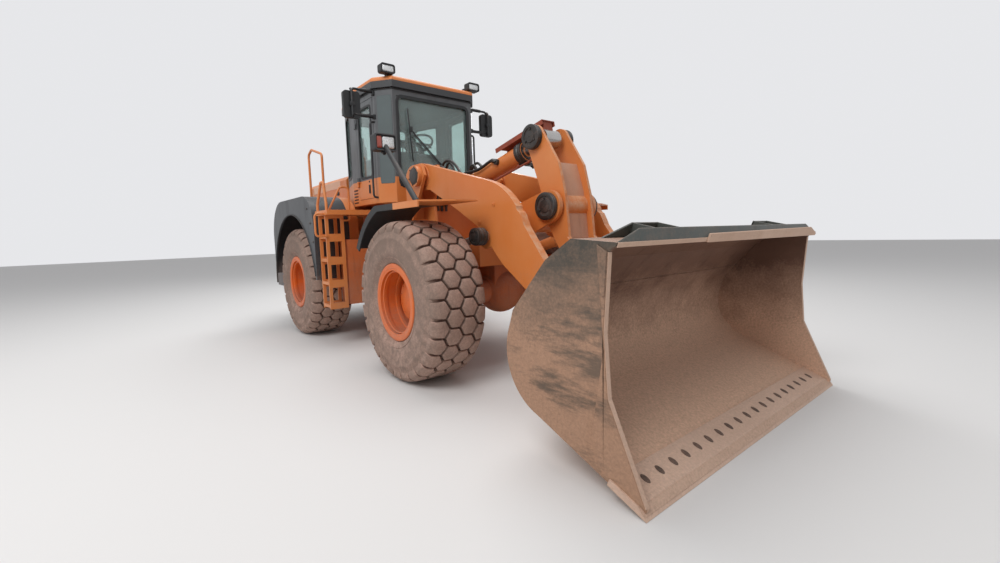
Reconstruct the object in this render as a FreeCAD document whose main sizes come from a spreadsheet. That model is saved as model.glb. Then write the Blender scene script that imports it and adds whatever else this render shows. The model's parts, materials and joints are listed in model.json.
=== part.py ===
# Articulated wheel loader: rear frame with engine and cab, front frame with boom and bucket.
# Millimetres. +X forward, +Y to the machine's left, +Z up, origin on the ground
# under the middle of the machine. Both frames stand in line and the bucket's edge is on the ground.
import FreeCAD
import Part
import math
import os
import re

doc = FreeCAD.newDocument("wheel_loader")
sheet = doc.addObject("Spreadsheet::Sheet", "Sizes")

# Driving sizes. Each row is an alias and its value.
SIZES = [
    # stations along the machine
    ("hinge_x", -500), ("front_axle_dx", 1600), ("rear_axle_dx", -1600), ("axle_z", 800),
    ("edge_dx", 4500), ("tail_dx", -3500),
    # tyres and rims
    ("tyre_radius", 800), ("tyre_width", 600), ("track_half", 1075), ("tyre_bore", 330),
    ("rim_lip", 385), ("rim_lip_inset", 55), ("bulge_radius", 560), ("lug_count", 28), ("lug_half", 80),
    ("lug_inner_half", 52), ("lug_depth", 18), ("lug_gap", 20), ("lug_end", 272),
    ("rim_wall", 14), ("disc_thick", 30), ("disc_inset", 330), ("wheel_hub_radius", 215),
    ("wheel_hub_out", 110), ("seat_gap", 0.3),
    # axles
    ("axle_tube_radius", 135), ("differential_radius", 265), ("brake_radius", 190),
    ("brake_in", 560), ("brake_out", 925),
    # rear frame
    ("frame_half", 450), ("frame_wall", 30), ("frame_low", 700), ("frame_high", 1250),
    ("neck_half", 335), ("neck_back_dx", -900), ("neck_end_dx", -500), ("hinge_pin_radius", 55),
    ("hinge_boss_radius", 140),
    ("hinge_plate", 50), ("hinge_low", 620), ("hinge_high", 1200), ("pin_gap", 0.08),
    ("plate_gap", 10),
    # steering cylinders
    ("steer_z", 950), ("steer_base_dx", -620), ("steer_base_out", 20), ("steer_eye_dx", 550),
    ("steer_eye_in", 70), ("steer_barrel_radius", 50), ("steer_rod_radius", 25),
    ("steer_barrel_length", 800), ("steer_rod_start", 422), ("steer_eye_radius", 55), ("steer_eye_half", 62),
    ("steer_pin_radius", 22),
    # counterweight, hood and engine
    ("weight_front_dx", -2720), ("weight_half", 1230), ("weight_low", 640), ("weight_high", 1560),
    ("weight_chamfer", 230), ("hood_half", 550), ("hood_wall", 12),
    ("hood_high", 2410), ("hood_front_dx", -1450), ("hood_back_dx", -3250), ("hood_shoulder", 60),
    ("hood_door_low", 2065), ("hood_door_front_dx", -1620), ("hood_door_back_dx", -3080),
    ("hood_door_inner", 140), ("door_gap", 6), ("grille_half", 430), ("grille_low", 1640),
    ("grille_high", 2270), ("grille_thick", 35), ("grille_slots", 9), ("grille_slot", 28),
    # cab
    ("cab_front_dx", 330), ("cab_back_dx", -1330), ("cab_bend_dx", -690), ("cab_half", 750),
    ("cab_front_half", 600), ("cab_back_half", 560), ("cab_wall", 45), ("cab_low", 1880),
    ("cab_floor", 50), ("cab_top", 3290), ("roof_thick", 140), ("roof_over", 35),
    ("pane", 8), ("pane_gap", 0.3), ("door_front_dx", 70), ("door_back_dx", -480),
    ("door_low", 1950), ("door_head", 80), ("door_frame", 70), ("door_sill", 2230),
    ("glass_low", 2080), ("glass_head", 90), ("glass_half", 545), ("window_head", 110),
    ("quarter_low", 2300), ("rear_glass_low", 2450), ("rear_glass_half", 470),
    # deck, ladders, tanks and fenders
    ("deck_high", 1800), ("deck_thick", 60), ("deck_front_dx", -110), ("deck_out", 1350),
    ("ladder_in", 1090), ("ladder_out", 1330), ("ladder_front_dx", -250),
    ("ladder_back_dx", -520), ("step_pitch", 300), ("step_thick", 40), ("ladder_bar", 25),
    ("tank_in", 690), ("tank_out", 1060), ("tank_low", 560), ("tank_high", 1420),
    ("fender_in", 765), ("fender_out", 1380), ("fender_top", 2030), ("fender_wall", 16),
    ("arch_radius", 1000), ("fender_foot", 890), ("fender_lip", 40), ("rail_radius", 17),
    ("fender_front_bend", 450), ("fender_back_bend", 560), ("fender_back_dx", 1020),
    ("knuckle_radius", 14), ("knuckle_length", 60),
    # front frame
    ("box_back_dx", 690), ("box_front_dx", 1830), ("box_low", 640), ("box_high", 1330),
    ("tower_back_dx", 720), ("tower_wall", 35), ("tower_in", 470), ("tower_out", 680),
    ("tower_shelf", 1640), ("tower_top", 2255), ("mud_radius", 1010), ("mud_in", 790),
    ("mud_out", 1335), ("mud_high", 1760), ("mud_lip", 60), ("mud_wall", 14),
    ("tie_dx", 765), ("tie_z", 700), ("tie_radius", 25),
    ("mud_joint_dx", 1650), ("mud_front_dx", 2280), ("mud_taper", 150),
    # boom and its pins
    ("foot_dx", 1000), ("foot_z", 2120), ("nose_dx", 3260), ("nose_z", 780),
    ("arm_in", 525), ("arm_out", 605), ("foot_boss", 150), ("nose_boss", 130),
    ("foot_pin_radius", 60), ("nose_pin_radius", 50), ("boss_side", 12), ("cap_thick", 50),
    ("foot_cap_radius", 115), ("cross_dx", 2280), ("cross_z", 1560), ("cross_radius", 115),
    ("pivot_dx", 2660), ("pivot_z", 1685), ("pivot_pin_radius", 60), ("pivot_cap_radius", 125),
    ("pivot_lug_in", 215), ("pivot_lug_out", 260), ("pivot_lug_radius", 150),
    # bellcrank and link
    ("crank_in", 160), ("crank_out", 192), ("crank_top_dx", 2420), ("crank_top_z", 2360),
    ("crank_low_dx", 3070), ("crank_low_z", 816), ("crank_top_radius", 115),
    ("crank_low_radius", 100), ("crank_hub_radius", 130), ("crank_cap_radius", 90),
    ("link_pin_radius", 45), ("link_half", 100), ("link_bar_half", 55), ("link_radius", 80),
    ("link_far_dx", 3483), ("link_far_z", 1152),
    # tilt cylinder
    ("tilt_dx", 1036), ("tilt_z", 2034), ("tilt_barrel_radius", 98), ("tilt_rod_radius", 48),
    ("tilt_eye_radius", 95), ("tilt_barrel_length", 1120), ("tilt_rod_start", 300), ("tilt_lug_in", 120),
    ("tilt_lug_out", 155), ("tilt_pin_radius", 45), ("guard_half", 88), ("guard_wall", 8),
    ("guard_low", 128), ("guard_high", 176), ("guard_back", 720), ("guard_front", 1470),
    # lift cylinders
    ("lift_dx", 600), ("lift_z", 1000), ("lift_y", 690), ("lift_barrel_radius", 68),
    ("lift_rod_radius", 40), ("lift_eye_dx", 2150), ("lift_eye_z", 1420),
    ("lift_barrel_length", 1340), ("lift_rod_start", 330), ("lift_eye_radius", 78), ("lift_eye_half", 50),
    ("lift_pin_radius", 40), ("lift_cap", 8), ("lift_root_radius", 120),
    ("lift_collar_radius", 60),
    # bucket, in its own level frame with the edge's tip at zero
    ("bucket_tilt", 22), ("bucket_half", 1460), ("bucket_wall", 25), ("bucket_side", 25),
    ("edge_half", 1480), ("edge_deep", 260), ("edge_thick", 40), ("edge_nose", 70),
    ("ear_in", 487), ("ear_out", 640), ("ear_thick", 28), ("lug_in", 110), ("lug_out", 150),
]


def fill_sheet():
    for row, (alias, number) in enumerate(SIZES, start=1):
        sheet.set(f"A{row}", alias.replace("_", " "))
        sheet.set(f"B{row}", str(number))
        sheet.setAlias(f"B{row}", alias)
    doc.recompute()


fill_sheet()
NAMES = {alias for alias, number in SIZES}


class Values:
    """Reads the sheet's cells by alias."""

    def __getattr__(self, alias):
        return float(getattr(sheet, alias))


v = Values()
SIDES = (("left", 1), ("right", -1))
problems = []


# Helpers

def bound(expression):
    """Writes an expression on aliases as one on the sheet's cells."""
    def cell(found):
        word = found.group()
        return f"Sizes.{word}" if word in NAMES else word
    return re.sub(r"[a-z_]+[a-z_0-9]*", cell, str(expression))


def bind(item, **properties):
    for prop, expression in properties.items():
        item.setExpression(prop.replace("__", "."), bound(expression))


def box(name, x, y, z):
    """A box between pairs of expressions, one pair per direction."""
    item = doc.addObject("Part::Box", name)
    for prop, (low, high) in zip(("Length", "Width", "Height"), (x, y, z)):
        item.setExpression(prop, bound(f"({high}) - ({low})"))
    for axis, (low, high) in zip("xyz", (x, y, z)):
        item.setExpression(f"Placement.Base.{axis}", bound(low))
    return item


TURN = {"x": (0, 1, 0, 90), "y": (1, 0, 0, -90), "z": (0, 0, 1, 0)}


def rod(name, along, radius, start, end, **centre):
    """A cylinder along x, y or z between two expressions."""
    item = doc.addObject("Part::Cylinder", name)
    item.setExpression("Radius", bound(radius))
    item.setExpression("Height", bound(f"({end}) - ({start})"))
    ax, ay, az, angle = TURN[along]
    item.Placement = FreeCAD.Placement(FreeCAD.Vector(), FreeCAD.Rotation(FreeCAD.Vector(ax, ay, az), angle))
    centre[along] = start
    for axis, expression in centre.items():
        item.setExpression(f"Placement.Base.{axis}", bound(expression))
    return item


def feature(name, shape):
    item = doc.addObject("Part::Feature", name)
    item.Shape = shape
    return item


def vector(x, y, z):
    return FreeCAD.Vector(x, y, z)


def outline(points, place):
    """A closed wire through points; a point after 'arc' is the middle of an arc."""
    edges = []
    steps = list(points) + [points[0]]
    here = place(*steps[0])
    index = 1
    while index < len(steps):
        step = steps[index]
        if step == "arc":
            middle = place(*steps[index + 1])
            there = place(*steps[index + 2])
            edges.append(Part.Arc(here, middle, there).toShape())
            index += 3
        else:
            there = place(*step)
            edges.append(Part.LineSegment(here, there).toShape())
            index += 1
        here = there
    return Part.Wire(edges)


def plate(name, points, low, high):
    """A side outline in x and z, from y low to y high."""
    wire = outline(points, lambda x, z: vector(x, low, z))
    return feature(name, Part.Face(wire).extrude(vector(0, high - low, 0)))


def slab(name, points, low, high):
    """A plan outline in x and y, from z low to z high."""
    wire = outline(points, lambda x, y: vector(x, y, low))
    return feature(name, Part.Face(wire).extrude(vector(0, 0, high - low)))


def turned(name, points, centre, axis=(0, 1, 0)):
    """A ring of revolution: points are radius and place along the y axis through centre."""
    cx, cy, cz = centre
    wire = outline(points, lambda r, y: vector(cx + r, cy + y, cz))
    return feature(name, Part.Face(wire).revolve(vector(*centre), vector(*axis), 360))


def pipe(name, points, radius, bend):
    """A bent tube through points, with round bends, as a solid bar."""
    points = [vector(*p) for p in points]
    edges = []
    here = points[0]
    for before, corner, after in zip(points, points[1:], points[2:]):
        into = (corner - before).normalize()
        out = (after - corner).normalize()
        half = into.getAngle(out) / 2
        reach = bend * math.tan(half)
        start = corner - into * reach
        end = corner + out * reach
        middle = corner + (out - into).normalize() * (bend / math.cos(half) - bend)
        edges.append(Part.LineSegment(here, start).toShape())
        edges.append(Part.Arc(start, middle, end).toShape())
        here = end
    edges.append(Part.LineSegment(here, points[-1]).toShape())
    path = Part.Wire(edges)
    ring = Part.Wire(Part.Circle(points[0], points[1] - points[0], radius).toShape())
    return feature(name, path.makePipeShell([ring], True, True))


def hull(name, circles, low, high):
    """A plate round two circles (x, z, radius), from y low to y high."""
    (x1, z1, r1), (x2, z2, r2) = circles
    dx, dz = x2 - x1, z2 - z1
    distance = math.hypot(dx, dz)
    heading = math.atan2(dz, dx)
    spread = math.acos((r1 - r2) / distance)

    def on(x, z, r, angle):
        return (x + r * math.cos(angle), z + r * math.sin(angle))
    points = [
        on(x1, z1, r1, heading + spread), "arc", on(x1, z1, r1, heading + math.pi),
        on(x1, z1, r1, heading - spread), on(x2, z2, r2, heading - spread),
        "arc", on(x2, z2, r2, heading), on(x2, z2, r2, heading + spread),
    ]
    return plate(name, points, low, high)


def drum(name, x, z, radius, low, high):
    """A round boss along y at x, z."""
    return feature(name, Part.makeCylinder(radius, high - low, vector(x, low, z), vector(0, 1, 0)))


def between(name, start, end, radius):
    """A round bar from one point to another."""
    start, end = vector(*start), vector(*end)
    return feature(name, Part.makeCylinder(radius, (end - start).Length, start, end - start))


def facet_ring(name, rows, centre, count):
    """A ring of flat faces round the y axis. Rows are radius and place along y."""
    cx, cy, cz = centre
    out = 1 / math.cos(math.pi / count)

    def corner(row, number):
        radius, y = rows[row % len(rows)]
        angle = 2 * math.pi * (number + 0.5) / count
        return vector(cx + radius * out * math.sin(angle), cy + y, cz - radius * out * math.cos(angle))
    faces = []
    for number in range(count):
        for row in range(len(rows)):
            ring = [corner(row, number), corner(row + 1, number), corner(row + 1, number + 1),
                    corner(row, number + 1)]
            faces.append(Part.Face(Part.makePolygon(ring + ring[:1])))
    solid = Part.Solid(Part.makeShell(faces))
    if solid.Volume < 0:
        solid.reverse()
    return feature(name, solid)


def housing(name, x, y, z, corner):
    """A lamp or mirror head with rounded corners, seen from the front, between x, y and z pairs."""
    (y0, y1), (z0, z1) = sorted(y), z
    near = corner * (1 - math.sqrt(0.5))
    points = [
        (y0 + corner, z0), (y1 - corner, z0), "arc", (y1 - near, z0 + near), (y1, z0 + corner),
        (y1, z1 - corner), "arc", (y1 - near, z1 - near), (y1 - corner, z1),
        (y0 + corner, z1), "arc", (y0 + near, z1 - near), (y0, z1 - corner),
        (y0, z0 + corner), "arc", (y0 + near, z0 + near)]
    wire = outline(points, lambda across, up: vector(x[0], across, up))
    return feature(name, Part.Face(wire).extrude(vector(x[1] - x[0], 0, 0)))


def fuse(name, items):
    item = doc.addObject("Part::MultiFuse", name)
    item.Shapes = items
    item.Refine = True
    return item


def cut(name, base, tools):
    tool = tools[0] if len(tools) == 1 else fuse(name + "_tools", tools)
    item = doc.addObject("Part::Cut", name)
    item.Base = base
    item.Tool = tool
    item.Refine = True
    return item


def group(name, items):
    """Solids on one body that don't touch, kept together."""
    item = doc.addObject("Part::Compound", name)
    item.Links = items
    return item


NODES = []


def node(label, item):
    """Names the finished sub-part; the name is also its file's name."""
    item.Label = label
    NODES.append(item)
    return item


HX = v.hinge_x


def side(low, high, sign):
    """The y range from low to high on the left side, or its mirror image on the right."""
    return (low, high) if sign > 0 else (-high, -low)


# Wheels

def tyre(corner, centre, sign):
    """A casing of flat faces and two rows of lugs, half a pitch apart."""
    half = v.tyre_width / 2
    bead = half - v.rim_lip_inset
    tread = v.tyre_radius - v.lug_depth
    profile = [(v.tyre_bore, bead), (v.rim_lip, bead), (v.bulge_radius, half), (tread, v.lug_end + 5)]
    rows = [(radius, -y) for radius, y in profile] + [(radius, y) for radius, y in reversed(profile)]
    count = int(v.lug_count)
    casing = facet_ring(f"casing_{corner}", rows, centre, count)
    x, y, z = centre
    flat = math.sqrt(v.tyre_radius ** 2 - v.lug_half ** 2)
    lugs = []
    for row, shift in ((sign, 0), (-sign, 0.5)):
        y0, y1 = y + row * v.lug_gap, y + row * v.lug_end
        base = outline(
            [(-v.lug_inner_half, y0), (v.lug_inner_half, y0), (v.lug_half, y1), (-v.lug_half, y1)],
            lambda across, along: vector(x + across, along, z - flat))
        lug = Part.Face(base).extrude(vector(0, 0, 60))
        for number in range(count):
            turned_lug = lug.copy()
            turned_lug.rotate(vector(x, y, z), vector(0, 1, 0), 360 * (number + shift) / count)
            lugs.append(turned_lug)
    node(f"tyre_{corner}", feature(f"tyre_body_{corner}", casing.Shape.fuse(lugs)))


def wheel(corner, dx, sign):
    x = HX + dx
    centre = (x, sign * v.track_half, v.axle_z)
    half = v.tyre_width / 2
    bore = v.tyre_bore
    tyre(corner, centre, sign)
    lip = half - v.rim_lip_inset
    out = v.seat_gap
    rim_outer = bore - out
    rim_inner = rim_outer - v.rim_wall
    disc = sign * (half - v.disc_inset)
    rim_points = [
        (rim_inner, -lip - 20), (v.rim_lip - 20, -lip - 20), (v.rim_lip - 20, -lip - out),
        (rim_outer, -lip - out), (rim_outer, lip + out), (v.rim_lip - 20, lip + out),
        (v.rim_lip - 20, lip + 20), (rim_inner, lip + 20),
    ]
    rim = turned(f"rim_{corner}", rim_points, centre)
    y = centre[1]
    low, high = sorted((disc, disc + sign * v.disc_thick))
    web = drum(f"disc_{corner}", x, v.axle_z, rim_inner + 5, y + low, y + high)
    seat = sign * (v.brake_out + v.seat_gap)
    end = y + sign * (half - v.disc_inset + v.wheel_hub_out)
    low, high = sorted((seat, end))
    hub = drum(f"hub_{corner}", x, v.axle_z, v.wheel_hub_radius, low, high)
    node(f"wheel_{corner}", fuse(f"wheel_body_{corner}", [rim, web, hub]))


for corner, dx, sign in (("front_left", v.front_axle_dx, 1), ("front_right", v.front_axle_dx, -1),
                         ("rear_left", v.rear_axle_dx, 1), ("rear_right", v.rear_axle_dx, -1)):
    wheel(corner, dx, sign)


def axle(label, station, mount_half, mount_top):
    x = f"hinge_x + {station}"
    ball = doc.addObject("Part::Sphere", label + "_ball")
    bind(ball, Radius="differential_radius", Placement__Base__x=x, Placement__Base__z="axle_z")
    pieces = [
        rod(label + "_tube", "y", "axle_tube_radius", "-brake_in - 20", "brake_in + 20", x=x, z="axle_z"),
        ball,
        rod(label + "_brake_left", "y", "brake_radius", "brake_in", "brake_out", x=x, z="axle_z"),
        rod(label + "_brake_right", "y", "brake_radius", "-brake_out", "-brake_in", x=x, z="axle_z"),
        box(label + "_seat", (f"{x} - 160", f"{x} + 160"), (f"-{mount_half}", mount_half),
            ("axle_z + 60", mount_top)),
    ]
    return node(label, fuse(label + "_body", pieces))


# Rear frame

def rear_chassis():
    back = "hinge_x + weight_front_dx"
    neck = "hinge_x + neck_end_dx"
    pieces = []
    tools = []
    for name, sign in SIDES:
        low, high = side(v.frame_half - v.frame_wall, v.frame_half, sign)
        pieces.append(box(f"rail_{name}", (back, "hinge_x + neck_back_dx"), (low, high),
            ("frame_low", "frame_high")))
        low, high = side(v.neck_half - v.frame_wall, v.neck_half, sign)
        pieces.append(box(f"neck_rail_{name}", ("hinge_x + neck_back_dx - frame_wall", neck), (low, high),
                          ("frame_low", "frame_high")))
        low, high = side(v.neck_half - v.frame_wall, v.frame_half, sign)
        pieces.append(box(f"neck_step_{name}", ("hinge_x + neck_back_dx - frame_wall",
            "hinge_x + neck_back_dx"),
                          (low, high), ("frame_low", "frame_high")))
    pieces.append(box("frame_top", (back, neck), ("-frame_half", "frame_half"),
        ("frame_high - 30", "frame_high")))
    pieces.append(box("frame_cross_front", (f"{neck} - 40", neck), ("-neck_half", "neck_half"),
                      ("frame_low", "frame_high")))
    pieces.append(box("frame_cross_mid", (f"{neck} - 700", f"{neck} - 660"), ("-frame_half", "frame_half"),
                      ("frame_low + 150", "frame_high")))
    pieces.append(box("frame_cross_back", (back, f"{back} + 40"), ("-frame_half", "frame_half"),
                      ("frame_low", "frame_high")))
    for name, low in (("low", "hinge_low"), ("high", "hinge_high")):
        tongue = slab(f"fork_{name}", [
            (HX + v.neck_end_dx - 30, -v.neck_half), (HX, -v.hinge_boss_radius), "arc",
            (HX + v.hinge_boss_radius, 0), (HX, v.hinge_boss_radius),
            (HX + v.neck_end_dx - 30, v.neck_half)],
            getattr(v, low), getattr(v, low) + v.hinge_plate)
        pieces.append(tongue)
    pieces.append(box("fork_web_low", (f"{neck} - 30", f"{neck}"), ("-neck_half", "neck_half"),
                      ("hinge_low", "frame_low + 10")))
    pieces.append(rod("hinge_pin", "z", "hinge_pin_radius", "hinge_low - 15", "hinge_high + hinge_plate + 15",
                      x="hinge_x"))
    for name, sign in SIDES:
        y0, y1 = (sign * (v.neck_half - 10), sign * (v.frame_half + v.steer_base_out))
        x = HX + v.steer_base_dx
        reach = v.steer_eye_radius + 8
        pieces.append(rod(f"steer_base_pin_{name}", "z", "steer_pin_radius", "steer_z - steer_eye_half - 35",
                          "steer_z + steer_eye_half + 35", x=x, y=sign * (v.frame_half + v.steer_base_out)))
        for level in (-1, 1):
            z = v.steer_z + level * (v.steer_eye_half + v.plate_gap / 2)
            z0, z1 = sorted((z, z + level * 25))
            pieces.append(slab(f"steer_ear_{name}_{level + 1}", [
                (x - reach, y0), (x - reach, y1), "arc", (x, y1 + sign * reach), (x + reach, y1),
                (x + reach, y0)],
                z0, z1))
    saddle = box("rear_saddle", ("hinge_x + rear_axle_dx - 300", "hinge_x + rear_axle_dx + 300"),
                 ("-frame_half - 10", "frame_half + 10"), ("frame_low - 10", "axle_z + 300"))
    return node("rear_chassis", cut("rear_chassis_body", fuse("rear_chassis_solid", pieces), [saddle]))


def counterweight():
    tail = HX + v.tail_dx
    front = HX + v.weight_front_dx
    half, edge = v.weight_half, v.weight_chamfer
    block = slab("weight_block", [
        (front - 0.3, -half), (front - 0.3, half), (tail + edge * 1.4, half), "arc",
        (tail + edge * 0.45, half - edge * 0.45), (tail, half - edge * 1.6), (tail, -half + edge * 1.6),
        "arc",
        (tail + edge * 0.45, -half + edge * 0.45), (tail + edge * 1.4, -half)],
        v.weight_low, v.weight_high)
    slope = plate("weight_slope", [
        (tail - 10, v.weight_low - 10), (tail + 320, v.weight_low - 10), (tail - 10, v.weight_low + 260)],
        -half - 10, half + 10)
    hitch_slot = box("hitch_slot", ("hinge_x + tail_dx - 10", "hinge_x + tail_dx + 190"), (-150, 150),
        (940, 1060))
    hitch_bore = rod("hitch_bore", "z", 25, 880, 1120, x="hinge_x + tail_dx + 100", y=0)
    mouth = rod("hitch_mouth", "z", 26, 1120, "weight_high + 10", x="hinge_x + tail_dx + 100", y=0)
    return node("counterweight", cut("weight_body", block, [slope, hitch_slot, hitch_bore, mouth]))


def drivetrain():
    x = "hinge_x - 2550"
    engine = box("engine_part", (x, "hinge_x - 1500"), (-330, 330), ("frame_high + 0.3", 2050))
    radiator = box("radiator_part", ("hinge_x + hood_back_dx + 130", "hinge_x + hood_back_dx + 330"),
        (-430, 430),
                   ("weight_high + 0.3", 2280))
    gearbox = box("gearbox_part", ("hinge_x - 1120", "hinge_x - 600"), (-240, 240),
        (760, "frame_high - 30.3"))
    return node("drivetrain", group("drivetrain_group", [engine, radiator, gearbox]))


def hood_section(half, high, shoulder):
    low = v.frame_high + v.seat_gap
    return [(-half, low), (-half, high - shoulder), (-half + shoulder, high), (half - shoulder, high),
            (half, high - shoulder), (half, low)]


def hood():
    front, back = HX + v.hood_front_dx, HX + v.hood_back_dx

    def tunnel(name, inset, x0, x1):
        points = hood_section(v.hood_half - inset, v.hood_high - inset, v.hood_shoulder)
        wire = outline(points, lambda y, z: vector(x0, y, z))
        return feature(name, Part.Face(wire).extrude(vector(x1 - x0, 0, 0)))
    shell = tunnel("hood_outer", 0, back, front)
    hollow = tunnel("hood_inner", v.hood_wall, back + v.hood_wall, front - v.hood_wall)
    grille_gap = box("hood_grille_gap", ("hinge_x + hood_back_dx - 10", "hinge_x + hood_back_dx + 20"),
                     ("30 - grille_half", "grille_half - 30"), ("grille_low + 30", "grille_high - 30"))
    weight_room = box("hood_weight_room", ("hinge_x + hood_back_dx - 10", "hinge_x + weight_front_dx"),
                      ("-hood_half - 10", "hood_half + 10"), ("frame_high - 10", "weight_high + seat_gap"))
    body = cut("hood_hollow", shell, [hollow, weight_room, grille_gap])
    openings = []
    for name, sign in SIDES:
        x = ("hinge_x + hood_door_back_dx", "hinge_x + hood_door_front_dx")
        wide = ("hood_door_inner", "hood_half + 10") if sign > 0 else ("-hood_half - 10", "-hood_door_inner")
        openings.append(box(f"hood_gap_{name}", x, wide, ("hood_door_low", "hood_high + 10")))
    shell = cut("hood_body", body, openings)
    ends = (HX + v.hood_door_back_dx + 60, HX + v.hood_door_front_dx - 60 - 2 * v.knuckle_length)
    pin_y = v.hood_door_inner + v.door_gap / 2
    pin_z = v.hood_high + v.knuckle_radius + 1
    knuckles = {"hood": [], "left": [], "right": []}
    for name, sign in SIDES:
        for number, x in enumerate(ends):
            for owner, shift in (("hood", 0), (name, v.knuckle_length)):
                start = x + shift + v.seat_gap / 2
                reach = -sign * 12 if owner == "hood" else sign * 12
                bar = feature(f"hood_knuckle_{name}_{owner}_{number}", Part.makeCylinder(
                    v.knuckle_radius, v.knuckle_length - v.seat_gap, vector(start, sign * pin_y, pin_z),
                    vector(1, 0, 0)))
                y0, y1 = sorted((sign * pin_y + reach, sign * pin_y + reach * 2.2))
                leaf = box(f"hood_leaf_{name}_{owner}_{number}",
                    (start, start + v.knuckle_length - v.seat_gap),
                           (y0, y1), (v.hood_high - 3, pin_z))
                knuckles[owner].extend([bar, leaf])
    node("hood_shell", fuse("hood_with_knuckles", [shell] + knuckles["hood"]))
    for name, sign in SIDES:
        gap = v.door_gap
        x = (f"hinge_x + hood_door_back_dx + {gap}", f"hinge_x + hood_door_front_dx - {gap}")
        wide = (f"hood_door_inner + {gap}", "hood_half + 10") if sign > 0 else \
            ("-hood_half - 10", f"-hood_door_inner - {gap}")
        region = box(f"hood_door_region_{name}", x, wide, (f"hood_door_low + {gap}", "hood_high + 10"))
        leaf = doc.addObject("Part::Common", f"engine_leaf_{name}")
        leaf.Base = body
        leaf.Tool = region
        node(f"engine_door_{name}", fuse(f"engine_door_body_{name}", [leaf] + knuckles[name]))


def grille():
    back = "hinge_x + hood_back_dx"
    frame = box("grille_frame", (f"{back} - grille_thick - seat_gap", f"{back} - seat_gap"),
        ("-grille_half", "grille_half"),
                ("grille_low", "grille_high"))
    slots = []
    count = int(v.grille_slots)
    pitch = (v.grille_high - v.grille_low - 80) / count
    for number in range(count):
        low = v.grille_low + 40 + (number + 0.5) * pitch - v.grille_slot / 2
        slots.append(box(f"grille_slot_{number}", (f"{back} - grille_thick - 10", f"{back} + 10"),
                         ("60 - grille_half", "grille_half - 60"), (low, low + v.grille_slot)))
    node("grille_door", cut("grille_slotted", frame, slots))


# Cab

def cab_plan(inset):
    f, b, m = HX + v.cab_front_dx - inset, HX + v.cab_back_dx + inset, HX + v.cab_bend_dx
    half = v.cab_half - inset
    fh, bh = v.cab_front_half - inset * 0.4, v.cab_back_half - inset * 0.8
    shoulder = HX + 130
    return [(f, -fh), (f, fh), (shoulder, half), (m, half), (b, bh), (b, -bh), (m, -half), (shoulder, -half)]


def cab():
    shell = slab("cab_outer", cab_plan(0), v.cab_low, v.cab_top)
    room = slab("cab_room", cab_plan(v.cab_wall), v.cab_low + v.cab_floor, v.cab_top + 10)
    windscreen = box("windscreen_gap", ("hinge_x + cab_front_dx - 120", "hinge_x + cab_front_dx + 10"),
                     ("-glass_half", "glass_half"), ("glass_low", "cab_top - glass_head"))
    doorways = box("doorway_gap", ("hinge_x + door_back_dx", "hinge_x + door_front_dx"),
                   ("-cab_half - 10", "cab_half + 10"), ("door_low", "cab_top - door_head"))
    quarters = box("quarter_gap", ("hinge_x + cab_back_dx + 90", "hinge_x + cab_bend_dx - 60"),
                   ("-cab_half - 10", "cab_half + 10"), ("quarter_low", "cab_top - window_head"))
    rear = box("rear_gap", ("hinge_x + cab_back_dx - 10", "hinge_x + cab_back_dx + 100"), 
               ("-rear_glass_half", "rear_glass_half"), ("rear_glass_low", "cab_top - window_head"))
    body = cut("cab_body", shell, [room, windscreen, doorways, quarters, rear])
    node("cab_shell", fuse("cab_with_knuckles", [body] + door_knuckles("cab")))

    roof_high = v.cab_top + v.roof_thick
    roof = slab("roof_block", cab_plan(-v.roof_over), v.cab_top + 0.3, roof_high)
    edges = [i + 1 for i, e in enumerate(roof.Shape.Edges)
             if abs(e.BoundBox.ZMin - roof_high) < 1 and abs(e.BoundBox.ZMax - roof_high) < 1]
    rounded = doc.addObject("Part::Fillet", "roof_round")
    rounded.Base = roof
    rounded.Edges = [(i, 45, 45) for i in edges]
    node("cab_roof", rounded)

    gap = "pane_gap"
    mid = "cab_wall / 2 - pane / 2"
    panes = [
        box("windscreen", (f"hinge_x + cab_front_dx - {mid} - pane", f"hinge_x + cab_front_dx - {mid}"),
            (f"-glass_half + {gap}", f"glass_half - {gap}"),
            (f"glass_low + {gap}", f"cab_top - glass_head - {gap}")),
        box("rear_pane", (f"hinge_x + cab_back_dx + {mid}", f"hinge_x + cab_back_dx + {mid} + pane"),
            (f"-rear_glass_half + {gap}", f"rear_glass_half - {gap}"),
            (f"rear_glass_low + {gap}", f"cab_top - window_head - {gap}")),
    ]
    bend = (HX + v.cab_bend_dx, v.cab_half)
    end = (HX + v.cab_back_dx, v.cab_back_half)
    slope = (bend[1] - end[1]) / (bend[0] - end[0])
    x0, x1 = HX + v.cab_back_dx + 90 + v.pane_gap, HX + v.cab_bend_dx - 60 - v.pane_gap
    for name, sign in SIDES:
        def wall(x, depth):
            return sign * (end[1] + slope * (x - end[0]) - depth)
        panes.append(slab(f"quarter_pane_{name}", [
            (x0, wall(x0, 18)), (x1, wall(x1, 18)), (x1, wall(x1, 18 + v.pane)), (x0, wall(x0, 18 + v.pane))],
            v.quarter_low + v.pane_gap, v.cab_top - v.window_head - v.pane_gap))
    node("cab_glass", group("cab_glass_group", panes))


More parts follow.
